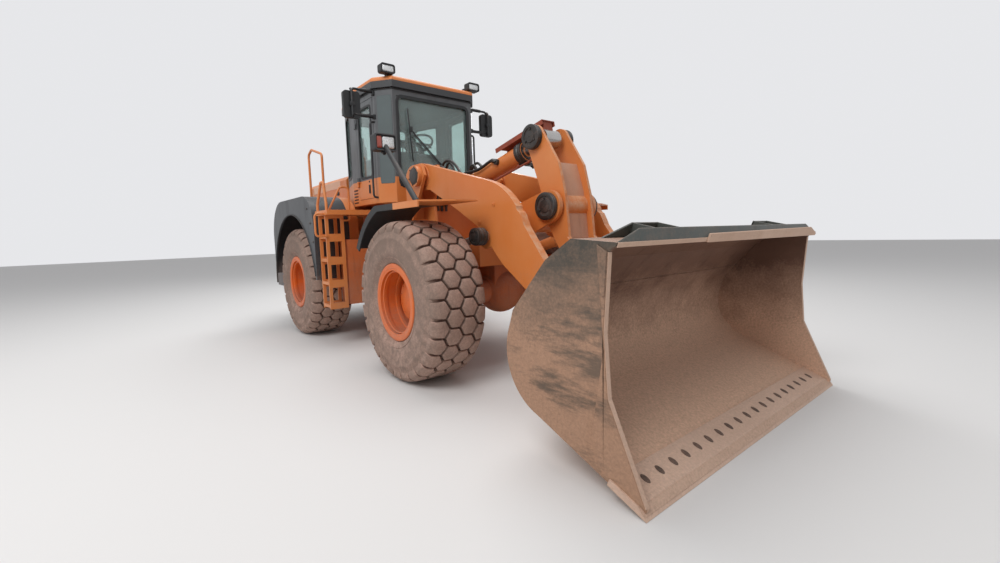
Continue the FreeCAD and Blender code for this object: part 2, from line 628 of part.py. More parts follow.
def door_knuckles(owner, only=None):
    """Hinge barrels at each cab door's rear edge; the door's sit on the cab's."""
    pieces = []
    x = HX + v.door_back_dx + v.door_gap / 2
    length = v.knuckle_length
    for name, sign in SIDES:
        if only and name != only:
            continue
        y = sign * (v.cab_half + v.knuckle_radius + 4)
        for number, z in enumerate((v.door_low + 180, v.cab_top - v.door_head - 300)):
            low = z if owner == "cab" else z + length
            bar = feature(f"door_knuckle_{owner}_{name}_{number}", Part.makeCylinder(
                v.knuckle_radius, length - v.seat_gap, vector(x, y, low), vector(0, 0, 1)))
            out = -1 if owner == "cab" else 1
            tab_x = sorted((x + out * 5, x + out * 40))
            y0, y1 = sorted((sign * (v.cab_half - 3), y))
            tab = box(f"door_tab_{owner}_{name}_{number}", tab_x, (y0, y1), (low, low + length - v.seat_gap))
            pieces.extend([bar, tab])
    return pieces


def cab_doors():
    for name, sign in SIDES:
        def wide(low, high):
            return (low, high) if sign > 0 else (f"-({high})", f"-({low})")
        gap = "door_gap"
        x = (f"hinge_x + door_back_dx + {gap}", f"hinge_x + door_front_dx - {gap}")
        leaf = box(f"door_leaf_{name}", x, wide("cab_half - cab_wall", "cab_half"),
                   (f"door_low + {gap}", f"cab_top - door_head - {gap}"))
        window = box(f"door_window_{name}",
                     (f"hinge_x + door_back_dx + {gap} + door_frame",
                     f"hinge_x + door_front_dx - {gap} - door_frame"),
                     wide("cab_half - cab_wall - 10", "cab_half + 10"),
                     ("door_sill", f"cab_top - door_head - {gap} - door_frame"))
        body = cut(f"cab_door_body_{name}", leaf, [window])
        node(f"cab_door_{name}", fuse(f"cab_door_hinged_{name}", [body] + door_knuckles("door", name)))
        pane = box(f"door_pane_{name}",
                   (f"hinge_x + door_back_dx + {gap} + door_frame + pane_gap",
                    f"hinge_x + door_front_dx - {gap} - door_frame - pane_gap"),
                   wide("cab_half - cab_wall / 2 - pane / 2", "cab_half - cab_wall / 2 + pane / 2"),
                   ("door_sill + pane_gap", f"cab_top - door_head - {gap} - door_frame - pane_gap"))
        node(f"door_glass_{name}", pane)


def seat():
    floor = "cab_low + cab_floor"
    x = "hinge_x - 560"
    pieces = [
        box("seat_base", (f"{x} - 200", f"{x} + 200"), (-190, 190), (f"{floor}", f"{floor} + 260")),
        box("seat_cushion", (f"{x} - 260", f"{x} + 260"), (-250, 250), (f"{floor} + 260", f"{floor} + 400")),
        plate("seat_back", [
            (HX - 720, v.cab_low + v.cab_floor + 390), (HX - 820, v.cab_low + v.cab_floor + 400),
            (HX - 960, v.cab_low + v.cab_floor + 1000), (HX - 860, v.cab_low + v.cab_floor + 1010)], -235,
            235),
        box("seat_arm_left", (f"{x} - 240", f"{x} + 160"), (255, 330), (f"{floor} + 520", f"{floor} + 590")),
        box("seat_arm_post_left", (f"{x} - 200", f"{x} - 120"), (245, 300),
        (f"{floor} + 300", f"{floor} + 530")),
        box("seat_arm_right", (f"{x} - 240", f"{x} + 160"), (-330, -255),
        (f"{floor} + 520", f"{floor} + 590")),
        box("seat_arm_post_right", (f"{x} - 200", f"{x} - 120"), (-300, -245),
        (f"{floor} + 300", f"{floor} + 530")),
    ]
    node("operator_seat", fuse("seat_body", pieces))


def console():
    floor = v.cab_low + v.cab_floor
    ring = doc.addObject("Part::Torus", "steering_ring")
    ring.Radius1 = 195
    ring.Radius2 = 16
    ring.Placement = FreeCAD.Placement(
        vector(HX - 110, 0, floor + 800), FreeCAD.Rotation(vector(0, 1, 0), -28))
    post = between("steering_post", (HX + 90, 0, floor + 390), (HX - 110, 0, floor + 800 - 5), 38)
    spoke = box("steering_spoke", ("hinge_x - 128", "hinge_x - 92"), (-190, 190),
                ("cab_low + cab_floor + 782", "cab_low + cab_floor + 812"))
    dash = plate("dash", [
        (HX + 60, floor), (HX + 190, floor), (HX + 230, floor + 560), (HX + 120, floor + 620),
        (HX + 20, floor + 430)], -180, 180)
    side_box = box("side_console", ("hinge_x - 700", "hinge_x - 120"), (-640, -420),
                   ("cab_low + cab_floor", "cab_low + cab_floor + 560"))
    wheel_set = fuse("steering_set", [ring, post, spoke, dash])
    node("steering_console", group("console_group", [wheel_set, side_box]))


# Deck, ladders, tanks, fenders and rails

def deck():
    pieces = []
    cab_seat = "cab_low - 0.3"
    pieces.append(box("deck_middle", ("hinge_x + cab_back_dx - 60", "hinge_x + deck_front_dx + 100"),
                      ("-cab_half", "cab_half"), ("deck_high - deck_thick", "deck_high")))
    for index, (dx, y) in enumerate(((-1150, 330), (-1150, -330), (-250, 330), (-250, -330))):
        pieces.append(box(f"cab_foot_{index}", (f"hinge_x + {dx} - 60", f"hinge_x + {dx} + 60"),
                          (y - 60, y + 60), ("deck_high - 10", cab_seat)))
    for index, (dx, y) in enumerate(((-1200, 330), (-1200, -330), (-580, 330), (-580, -330))):
        pieces.append(box(f"deck_post_{index}", (f"hinge_x + {dx} - 50", f"hinge_x + {dx} + 50"),
                          (y - 50, y + 50), ("frame_high + seat_gap", "deck_high - deck_thick + 10")))
    for name, sign in SIDES:
        y0, y1 = side(v.cab_half - 20, v.deck_out, sign)
        pieces.append(box(f"deck_wing_{name}",
            ("hinge_x + rear_axle_dx + arch_radius + fender_lip + seat_gap",
                                                "hinge_x + deck_front_dx"), (y0, y1),
                          ("deck_high - deck_thick", "deck_high")))
        x0, x1 = HX + v.ladder_back_dx, HX + v.ladder_front_dx
        y0, y1 = side(v.ladder_in, v.ladder_out, sign)
        low = v.deck_high - v.deck_thick - 4 * v.step_pitch - 20
        for end, x in (("back", x0), ("front", x1 - v.ladder_bar)):
            pieces.append(box(f"ladder_side_{name}_{end}", (x, x + v.ladder_bar), (y0, y1),
                              (low, v.deck_high - v.deck_thick + 10)))
        for number in range(1, 5):
            z = v.deck_high - v.deck_thick - number * v.step_pitch
            pieces.append(box(f"step_{name}_{number}", (x0, x1), (y0, y1), (z, z + v.step_thick)))
    whole = fuse("deck_body", pieces)
    clear = []
    for name, sign in SIDES:
        y0, y1 = side(v.ladder_in + 40, v.ladder_out - 40, sign)
        for number in range(0, 4):
            z = v.deck_high - v.deck_thick - (number + 1) * v.step_pitch + v.step_thick + 20
            clear.append(box(f"ladder_gap_{name}_{number}",
                             (HX + v.ladder_back_dx - 10, HX + v.ladder_front_dx + 10), (y0, y1),
                             (z, z + v.step_pitch - v.step_thick - 60)))
    node("deck_ladders", cut("deck_cut", whole, clear))


def tanks():
    pieces = []
    for name, sign in SIDES:
        y = ("tank_in", "tank_out") if sign > 0 else ("-tank_out", "-tank_in")
        tank = box(f"tank_{name}", ("hinge_x + ladder_back_dx - 20", "hinge_x + ladder_front_dx"), y,
                   ("tank_low", "tank_high"))
        shelf = box(f"tank_bracket_{name}", ("hinge_x + neck_end_dx - 30", "hinge_x + ladder_front_dx - 60"),
                    ("tank_in - 30", "tank_in + 10") if sign > 0 else ("-tank_in - 10", "30 - tank_in"),
                    ("tank_high - 100", "deck_high - deck_thick - 0.3"))
        pieces.append(fuse(f"tank_set_{name}", [tank, shelf]))
    node("side_tanks", group("tank_group", pieces))


def fenders():
    """Deep mudguards over the rear wheels: a skin all round and a cheek with the wheel arch cut out."""
    pieces = []
    cx, cz = HX + v.rear_axle_dx, v.axle_z
    foot = v.fender_foot
    reach = math.sqrt(v.arch_radius ** 2 - (foot - cz) ** 2)
    top = v.fender_top
    front, back = cx + v.arch_radius + v.fender_lip, cx - v.fender_back_dx
    corner = 1 - math.sqrt(0.5)

    def hood_line(inset, low):
        near, far = v.fender_front_bend - inset, v.fender_back_bend - inset
        x0, x1, z = front - inset, back + inset, top - inset
        return [
            (x0, low), (x0, z - near), "arc", (x0 - near * corner, z - near * corner), (x0 - near, z),
            (x1 + far, z), "arc", (x1 + far * corner, z - far * corner), (x1, z - far), (x1, low)]
    for name, sign in SIDES:
        y0, y1 = side(v.fender_in, v.fender_out, sign)
        arch = [(cx - reach, foot), "arc", (cx, cz + v.arch_radius), (cx + reach, foot)]
        outer = plate(f"fender_outer_{name}", hood_line(0, foot) + arch, y0, y1)
        inner_y = side(v.fender_in - 10, v.fender_out - v.fender_wall, sign)
        hollow = plate(f"fender_hollow_{name}", hood_line(v.fender_wall, foot - 10), *inner_y)
        pieces.append(cut(f"fender_cut_{name}", outer, [hollow]))
    return pieces


def rear_fenders():
    shells = fenders()
    items = []
    for shell, (name, sign) in zip(shells, SIDES):
        y0, y1 = side(v.hood_half + v.seat_gap, v.fender_in + 1, sign)
        shelf = box(f"fender_shelf_{name}", ("hinge_x + hood_door_back_dx + 300",
            "hinge_x + hood_front_dx"), (y0, y1),
                    ("fender_top - fender_wall", "fender_top"))
        items.append(fuse(f"fender_set_{name}", [shell, shelf]))
    node("rear_fenders", group("rear_fender_group", items))


def handrails():
    bars = []
    r = v.rail_radius
    top = v.fender_top
    deck_top = v.deck_high
    grab_top = v.cab_top - 400
    for name, sign in SIDES:
        y = sign * 1050
        bars.append(pipe(f"rear_rail_{name}", [
            (HX - 1030, y, top + 0.3), (HX - 1030, y, top + 610), (HX - 1460, y, top + 730),
            (HX - 1600, y, top + 670),
            (HX - 1600, y, top + 0.3)], r, 60))
        bars.append(pipe(f"deck_rail_{name}", [
            (HX - 500, sign * 1331, deck_top + 0.3), (HX - 500, sign * 1331, deck_top + 80),
            (HX - 320, sign * 1331, deck_top + 350), (HX - 230, sign * 1331, deck_top + 350),
            (HX - 170, sign * 1331, deck_top + 80), (HX - 170, sign * 1331, deck_top + 0.3)], r, 30))
        yc = sign * (v.cab_half + 60)
        wall = sign * v.cab_half
        bars.append(pipe(f"grab_rail_{name}", [
            (HX + 100, wall + sign * 0.3, grab_top), (HX + 100, yc, grab_top), (HX + 100, yc, v.door_low),
            (HX + 100, wall + sign * 0.3, v.door_low)], 13, 40))
    node("handrails", group("handrail_group", bars))


def stacks():
    exhaust = fuse("exhaust_set", [
        rod("exhaust_pipe", "z", 50, "hood_high + seat_gap", 3020, x="hinge_x - 1535", y=-230),
        rod("exhaust_guard", "z", 80, 2480, 2880, x="hinge_x - 1535", y=-230)])
    intake = fuse("intake_set", [
        rod("intake_pipe", "z", 60, "hood_high + seat_gap", 2700, x="hinge_x - 1520", y=230),
        rod("intake_bowl", "z", 105, 2640, 2840, x="hinge_x - 1520", y=230)])
    node("exhaust_intake", group("stack_group", [exhaust, intake]))


def lamp_head(name, x, y, z):
    """A rounded lamp housing whose front face is sunk behind its rim. It looks towards the second x."""
    rim, sunk = 16, 12
    body = housing(f"{name}_shell", x, y, z, 28)
    step = math.copysign(1, x[1] - x[0])
    mouth = housing(f"{name}_mouth", (x[1] - step * sunk, x[1] + step), (y[0] + rim, y[1] - rim),
                    (z[0] + rim, z[1] - rim), 14)
    return cut(f"{name}_head", body, [mouth])


def lamps():
    pieces = []
    z = v.cab_top + v.roof_thick + 0.3
    # name, station of back and front, half spacing, foot's stations, foot's shift inward
    rows = (("roof_lamp", 260, 360, 650, 180, 270, 60), ("back_lamp", -1270, -1350, 420, -1280, -1200, 0))
    for label, back, front, across, foot_back, foot_front, shift in rows:
        for name, sign in SIDES:
            y = sign * across
            head = lamp_head(f"{label}_{name}", (HX + back, HX + front), (y - 95, y + 95), (z + 10, z + 120))
            middle = y - sign * shift
            foot = box(f"{label}_foot_{name}", (HX + foot_back, HX + foot_front), (middle - 25, middle + 25),
                       (z, z + 60))
            pieces.append(fuse(f"{label}_set_{name}", [head, foot]))
    for name, sign in SIDES:
        y = sign * 980
        low = v.weight_high + 0.3
        pieces.append(lamp_head(f"tail_lamp_{name}", (HX + v.weight_front_dx - 250,
            HX + v.weight_front_dx - 330),
                                (y - 130, y + 130), (low, low + 130)))
    node("lamps", group("lamp_group", pieces))


def mirrors():
    pieces = []
    for name, sign in SIDES:
        wall = sign * (v.cab_half + 0.3)
        x = HX + 120
        y = sign * 1040
        high, low = v.cab_top - 35, v.cab_top - 340
        arm = pipe(f"mirror_arm_{name}", [(x, wall, high), (x, y, high), (x, y, low), (x, wall, low)], 15, 45)
        head = housing(f"mirror_head_{name}", (x - 45, x + 10), (y - 105, y + 105), (low - 50, high - 35), 40)
        pieces.append(fuse(f"mirror_set_{name}", [arm, head]))
    node("mirrors", group("mirror_group", pieces))


# Front frame

def front_chassis():
    pieces = []
    back, front = "hinge_x + box_back_dx", "hinge_x + box_front_dx"
    for name, sign in SIDES:
        y = ("frame_half - frame_wall", "frame_half") if sign > 0 else ("-frame_half",
            "frame_wall - frame_half")
        pieces.append(box(f"box_side_{name}", (back, front), y, ("box_low", "box_high")))
    pieces.append(box("box_top", (back, front), ("-frame_half", "frame_half"), ("box_high - 30", "box_high")))
    pieces.append(box("box_back", (back, f"{back} + 40"), ("-frame_half", "frame_half"),
        ("box_low", "box_high")))
    pieces.append(box("box_front", (f"{front} - 40", front), ("-frame_half", "frame_half"),
        ("box_low + 200", "box_high")))
    for name, z in (("low", v.hinge_low + v.hinge_plate + v.plate_gap),
                    ("high", v.hinge_high - v.hinge_plate - v.plate_gap)):
        pieces.append(slab(f"tongue_{name}", [
            (HX + v.box_back_dx + 10, v.frame_half - 10), (HX + 430, 270), (HX, v.hinge_boss_radius), "arc",
            (HX - v.hinge_boss_radius, 0), (HX, -v.hinge_boss_radius), (HX + 430, -270),
            (HX + v.box_back_dx + 10, -v.frame_half + 10)], z, z + v.hinge_plate))
    pieces.append(box("tongue_web", ("hinge_x + 260", f"{back} + 10"), (-60, 60),
                      ("hinge_low + hinge_plate + plate_gap + 10", "hinge_high - plate_gap - 10")))
    for name, sign in SIDES:
        x = HX + v.steer_eye_dx
        y0, y1 = sign * 200, sign * (v.frame_half - v.steer_eye_in)
        reach = v.steer_eye_radius + 5
        for level in (-1, 1):
            z = v.steer_z + level * (v.steer_eye_half + v.plate_gap / 2)
            z0, z1 = sorted((z, z + level * 25))
            pieces.append(slab(f"eye_ear_{name}_{level + 1}", [
                (x - reach, y0), (x - reach, y1), "arc", (x, y1 + sign * reach), (x + reach, y1),
                (HX + v.box_back_dx + 10, y1), (HX + v.box_back_dx + 10, y0)], z0, z1))
    tower = [
        (HX + v.tower_back_dx, v.box_high - 40), (HX + v.tower_back_dx, v.tower_top - 160), "arc",
        (HX + v.tower_back_dx + 60, v.tower_top - 45), (HX + v.tower_back_dx + 190, v.tower_top),
        (HX + 1090, v.tower_top), (HX + 1150, v.foot_z), (HX + 980, 1850), (HX + 840, v.tower_shelf - 40)]
    inner_tower = tower[:-1] + [(HX + 1010, 1600), (HX + 1300, v.box_high - 40)]
    for name, sign in SIDES:
        y0, y1 = side(v.tower_in - v.tower_wall, v.tower_in, sign)
        pieces.append(plate(f"tower_inner_{name}", inner_tower, y0, y1))
        y0, y1 = side(v.tower_out - v.tower_wall, v.tower_out, sign)
        outer = [(HX + v.tower_back_dx, v.tower_shelf - 40)] + tower[1:]
        pieces.append(plate(f"tower_outer_{name}", outer, y0, y1))
        y0, y1 = side(v.tower_in - 10, v.tower_out, sign)
        pieces.append(box(f"tower_shelf_{name}", ("hinge_x + tower_back_dx", "hinge_x + 840"), (y0, y1),
                          ("tower_shelf - 40", "tower_shelf")))
        foot_y = side(v.tower_in - v.tower_wall - 5, v.tower_out + v.cap_thick, sign)
        pieces.append(drum(f"foot_pin_{name}", HX + v.foot_dx, v.foot_z, v.foot_pin_radius, *foot_y))
        cap_y = side(v.tower_out - 1, v.tower_out + v.cap_thick, sign)
        pieces.append(drum(f"foot_cap_{name}", HX + v.foot_dx, v.foot_z, v.foot_cap_radius, *cap_y))
        pieces.append(hull(f"lift_base_plate_{name}", [
            (HX + v.lift_dx, v.lift_z, 95), (HX + v.box_back_dx + 200, v.lift_z + 60, 140)],
            *side(v.frame_half + 28, v.frame_half + 70, sign)))
        pieces.append(drum(f"lift_base_spacer_{name}", HX + v.box_back_dx + 200, v.lift_z + 60, 120,
                           *side(v.frame_half - 5, v.frame_half + 30, sign)))
        lug_y = side(v.frame_half + 28, v.lift_y - v.lift_eye_half - v.lift_cap, sign)
        pieces.append(drum(f"lift_base_{name}", HX + v.lift_dx, v.lift_z, 95, *lug_y))
        pin_y = side(v.frame_half + 28, v.lift_y + v.lift_eye_half + v.lift_cap, sign)
        pieces.append(drum(f"lift_base_pin_{name}", HX + v.lift_dx, v.lift_z, v.lift_pin_radius, *pin_y))
        near, clear, far = sign * (v.tower_out - 5), sign * (v.mud_in - 10), sign * (v.mud_in + 330)
        x0, x1, x2 = HX + v.tower_back_dx + 20, HX + 840, HX + v.front_axle_dx - 480
        bracket = slab(f"fender_bracket_{name}", [
            (x0, near), (x1, near), (x1, clear), (x2, clear), (x2, far), (x0, far)],
            v.tower_shelf - 40, v.tower_shelf)
        tyre_room = drum(f"bracket_room_{name}", HX + v.front_axle_dx, v.axle_z,
                         v.mud_radius + v.mud_wall + v.seat_gap, *side(v.mud_in - 20, v.mud_out, sign))
        pieces.append(cut(f"fender_bracket_cut_{name}", bracket, [tyre_room]))
        lug_y = side(v.tilt_lug_in, v.tilt_lug_out, sign)
        pieces.append(plate(f"tilt_lug_{name}", [
            (HX + v.tower_back_dx, v.tilt_z - 190), (HX + v.tilt_dx, v.tilt_z - 95), "arc",
            (HX + v.tilt_dx + 95, v.tilt_z), (HX + v.tilt_dx, v.tilt_z + 95),
            (HX + v.tower_back_dx, v.tilt_z + 120)], *lug_y))
    pieces.append(box("tower_back", ("hinge_x + tower_back_dx", "hinge_x + tower_back_dx + tower_wall"),
                      ("-tower_out", "tower_out"), ("tower_shelf - 40", "tower_top - 160")))
    pieces.append(box("tower_back_low", ("hinge_x + tower_back_dx", "hinge_x + tower_back_dx + tower_wall"),
                      ("-tower_in", "tower_in"), ("box_high - 40", "tower_shelf")))
    pieces.append(drum("tilt_pin", HX + v.tilt_dx, v.tilt_z, v.tilt_pin_radius, -v.tilt_lug_out - 12,
        v.tilt_lug_out + 12))
    node_body = fuse("front_chassis_solid", pieces)
    bore = rod("front_hinge_bore", "z", "hinge_pin_radius + pin_gap", "hinge_low", "hinge_high + hinge_plate",
               x="hinge_x")
    saddle = box("axle_saddle", ("hinge_x + front_axle_dx - 300", "hinge_x + front_axle_dx + 300"),
                 ("-frame_half - 10", "frame_half + 10"), ("box_low - 10", "axle_z + 300"))
    tie = rod("tie_down_bore", "y", "tie_radius", "-frame_half - 10", "frame_half + 10",
        x="hinge_x + tie_dx", z="tie_z")
    node("front_chassis", cut("front_chassis_body", node_body, [bore, saddle, tie]))


def front_fenders():
    cx, cz = HX + v.front_axle_dx, v.axle_z
    r = v.mud_radius
    wall = v.mud_wall
    high = v.mud_high
    start = math.radians(149)
    joint = HX + v.mud_joint_dx
    meet = math.asin((high - wall - cz) / r)
    crown = math.asin((high - cz) / (r + wall))
    lip_meet = math.asin((high - v.mud_lip - cz) / (r - v.mud_lip))
    blacks, oranges = [], []
    for name, sign in SIDES:
        y0, y1 = side(v.mud_in, v.mud_out, sign)
        middle = (start + math.pi - meet) / 2

        def on(radius, angle):
            return (cx + radius * math.cos(angle), cz + radius * math.sin(angle))
        arc = [on(r, start), on(r + wall, start), "arc", on(r + wall, middle),
               (cx - (r + wall) * math.cos(crown), high)]
        points = arc + [(joint, high), (joint, high - wall), (cx - r * math.cos(meet), high - wall), "arc",
                        on(r, middle)]
        sheet_part = plate(f"mud_sheet_{name}", points, y0, y1)
        ly0, ly1 = side(v.mud_out - wall, v.mud_out, sign)
        lip_r = r - v.mud_lip
        lip_points = arc + [(joint, high), (joint, high - v.mud_lip),
                            (cx - lip_r * math.cos(lip_meet), high - v.mud_lip), "arc",
                            on(lip_r, middle), on(lip_r, start)]
        lip = plate(f"mud_lip_{name}", lip_points, ly0, ly1)
        blacks.append(fuse(f"mudguard_{name}", [sheet_part, lip]))
        inner, outer = sign * v.mud_in, sign * v.mud_out
        front = HX + v.mud_front_dx
        top = slab(f"wing_{name}", [
            (joint + 0.3, inner), (joint + 0.3, outer), (front - v.mud_taper, outer),
            (front, outer - sign * 2 * v.mud_taper), (front, inner)], high - wall, high)
        edge = box(f"wing_lip_{name}", (joint + 0.3, front - v.mud_taper), (ly0, ly1),
            (high - v.mud_lip, high))
        oranges.append(fuse(f"wing_set_{name}", [top, edge]))
    node("mudguards", group("mudguard_group", blacks))
    node("front_wings", group("wing_group", oranges))


def headlamps():
    pieces = []
    for name, sign in SIDES:
        y = sign * 1100
        base = v.mud_high + 0.3
        foot = box(f"lamp_foot_{name}", (HX + 1665, HX + 1745), (y - 40, y + 40), (base, base + 30))
        post = between(f"lamp_post_{name}", (HX + 1700, y, base + 20), (HX + 1090, y, 2400), 28)
        head = lamp_head(f"lamp_{name}", (HX + 1000, HX + 1110), (y - 125, y + 125), (2350, 2530))
        pieces.append(fuse(f"headlamp_{name}", [foot, post, head]))
    node("headlamps", group("headlamp_group", pieces))


# Boom, bellcrank, link and bucket

def boom():
    a = (HX + v.foot_dx, v.foot_z)
    b = (HX + v.nose_dx, v.nose_z)
    arm = [
        (HX + 1000, 2270), (HX + 2230, 1945), "arc", (HX + 2520, 1775), (HX + 2700, 1510),
        (HX + 2930, 1215), (b[0] + 105, b[1] + 76), "arc", (b[0] + 92, b[1] - 92), (b[0] - 40, b[1] - 124),
        (HX + 2700, 945), (HX + 2400, 1150), "arc", (HX + 2240, 1310), (HX + 2080, 1490),
        (HX + 1700, 1690), (HX + 1140, 1960), (HX + 1000, 1970), "arc", (HX + 850, 2120)]
    pieces = []
    for name, sign in SIDES:
        pieces.append(plate(f"arm_{name}", arm, *side(v.arm_in, v.arm_out, sign)))
        wide = side(v.arm_in - v.boss_side, v.arm_out + v.boss_side, sign)
        pieces.append(drum(f"foot_boss_{name}", *a, v.foot_boss - 20, *wide))
        pieces.append(drum(f"nose_boss_{name}", *b, v.nose_boss - 10, *wide))
        lug = side(v.pivot_lug_in, v.pivot_lug_out, sign)
        pieces.append(hull(f"pivot_lug_{name}", [
            (HX + v.cross_dx, v.cross_z, v.cross_radius + 60), (HX + v.pivot_dx, v.pivot_z,
            v.pivot_lug_radius)],
            *lug))
        pieces.append(drum(f"lift_root_{name}", HX + v.lift_eye_dx, v.lift_eye_z, v.lift_root_radius,
                           *side(v.arm_in, v.arm_out, sign)))
    pieces.append(rod("cross_tube", "y", "cross_radius", "-arm_in - 10", "arm_in + 10",
                      x="hinge_x + cross_dx", z="cross_z"))
    body = fuse("boom_solid", pieces)
    bores = []
    for name, (x, z), radius in (("foot", a, v.foot_pin_radius), ("nose", b, v.nose_pin_radius),
                                 ("pivot", (HX + v.pivot_dx, v.pivot_z), v.pivot_pin_radius)):
        bores.append(drum(f"{name}_bore", x, z, radius + v.pin_gap, -v.arm_out - 40, v.arm_out + 40))
    node("boom_arms", cut("boom_body", body, bores))


def nose_pins():
    pieces = []
    x, z = HX + v.nose_dx, v.nose_z
    for name, sign in SIDES:
        low, high = v.ear_in - v.ear_thick - 14, v.ear_out + v.ear_thick + 14
        pin = drum(f"nose_pin_{name}", x, z, v.nose_pin_radius, *side(low, high, sign))
        cap_in = drum(f"nose_cap_in_{name}", x, z, 75, *side(low, v.ear_in - v.ear_thick - 3, sign))
        cap_out = drum(f"nose_cap_out_{name}", x, z, 75, *side(v.ear_out + v.ear_thick + 3, high, sign))
        pieces.append(fuse(f"nose_pin_set_{name}", [pin, cap_in, cap_out]))
    node("bucket_pins", group("bucket_pin_group", pieces))


def pivot_pin():
    x, z = HX + v.pivot_dx, v.pivot_z
    out = v.pivot_lug_out
    pin = drum("pivot_shaft", x, z, v.pivot_pin_radius, -out - 45, out + 45)
    caps = [drum("pivot_cap_left", x, z, v.pivot_cap_radius, out + 3, out + 45),
            drum("pivot_cap_right", x, z, v.pivot_cap_radius, -out - 45, -out - 3)]
    node("bellcrank_pin", fuse("pivot_pin_body", [pin] + caps))


def bellcrank():
    d = (HX + v.crank_top_dx, v.crank_top_z)
    c = (HX + v.pivot_dx, v.pivot_z)
    e = (HX + v.crank_low_dx, v.crank_low_z)
    r, s = v.crank_top_radius, v.crank_low_radius
    blade = [
        (d[0] - 110, d[1] - 30), "arc", (d[0] - 30, d[1] + r), (d[0] + 105, d[1] + 50),
        (HX + 2735, 2085), (HX + 2810, 1800), (HX + 2855, 1400), (e[0] + s, e[1] + 20), "arc",
        (e[0] + 20, e[1] - s), (e[0] - s, e[1] - 10), (HX + 2800, 1180), (HX + 2590, 1520),
        (HX + 2520, 1700), (HX + 2500, 1850), (HX + 2432, 2024)]
    pieces = []
    for name, sign in SIDES:
        wide = side(v.crank_in, v.crank_out, sign)
        pieces.append(plate(f"blade_{name}", blade, *wide))
        cap = side(v.crank_out - 1, v.crank_out + 45, sign)
        pieces.append(drum(f"top_cap_{name}", *d, v.crank_cap_radius, *cap))
    hub_end = v.pivot_lug_in - 5
    pieces.append(drum("crank_hub", *c, v.crank_hub_radius, -hub_end, hub_end))
    body = fuse("crank_solid", pieces)
    bores = [drum("crank_pivot_bore", *c, v.pivot_pin_radius + v.pin_gap, -300, 300),
             drum("crank_low_bore", *e, v.link_pin_radius + v.pin_gap, -300, 300)]
    node("bellcrank", cut("crank_body", body, bores))


def link():
    e = (HX + v.crank_low_dx, v.crank_low_z)
    f = (HX + v.link_far_dx, v.link_far_z)
    out = v.crank_out
    shaft = drum("link_shaft", *e, v.link_pin_radius, -out - 28, out + 28)
    caps = [drum("link_cap_left", *e, 70, out + 3, out + 28), drum("link_cap_right", *e, 70, -out - 28,
        -out - 3)]
    node("link_pin", fuse("link_pin_body", [shaft] + caps))
    bar = hull("link_bar", [(*e, v.link_radius - 5), (*f, v.link_radius - 5)], -v.link_bar_half,
        v.link_bar_half)
    eyes = [drum("link_eye_low", *e, v.link_radius, -v.link_half, v.link_half),
            drum("link_eye_far", *f, v.link_radius, -v.link_half, v.link_half)]
    body = fuse("link_solid", [bar] + eyes)
    bore = drum("link_bore", *e, v.link_pin_radius + v.pin_gap, -200, 200)
    node("bucket_link", cut("link_body", body, [bore]))


def bucket_place(item):
    """Tips the level bucket nose down and sets its edge on the ground."""
    item.Placement = FreeCAD.Placement(
        vector(HX + v.edge_dx, 0, 0), FreeCAD.Rotation(vector(0, 1, 0), v.bucket_tilt))
    return item


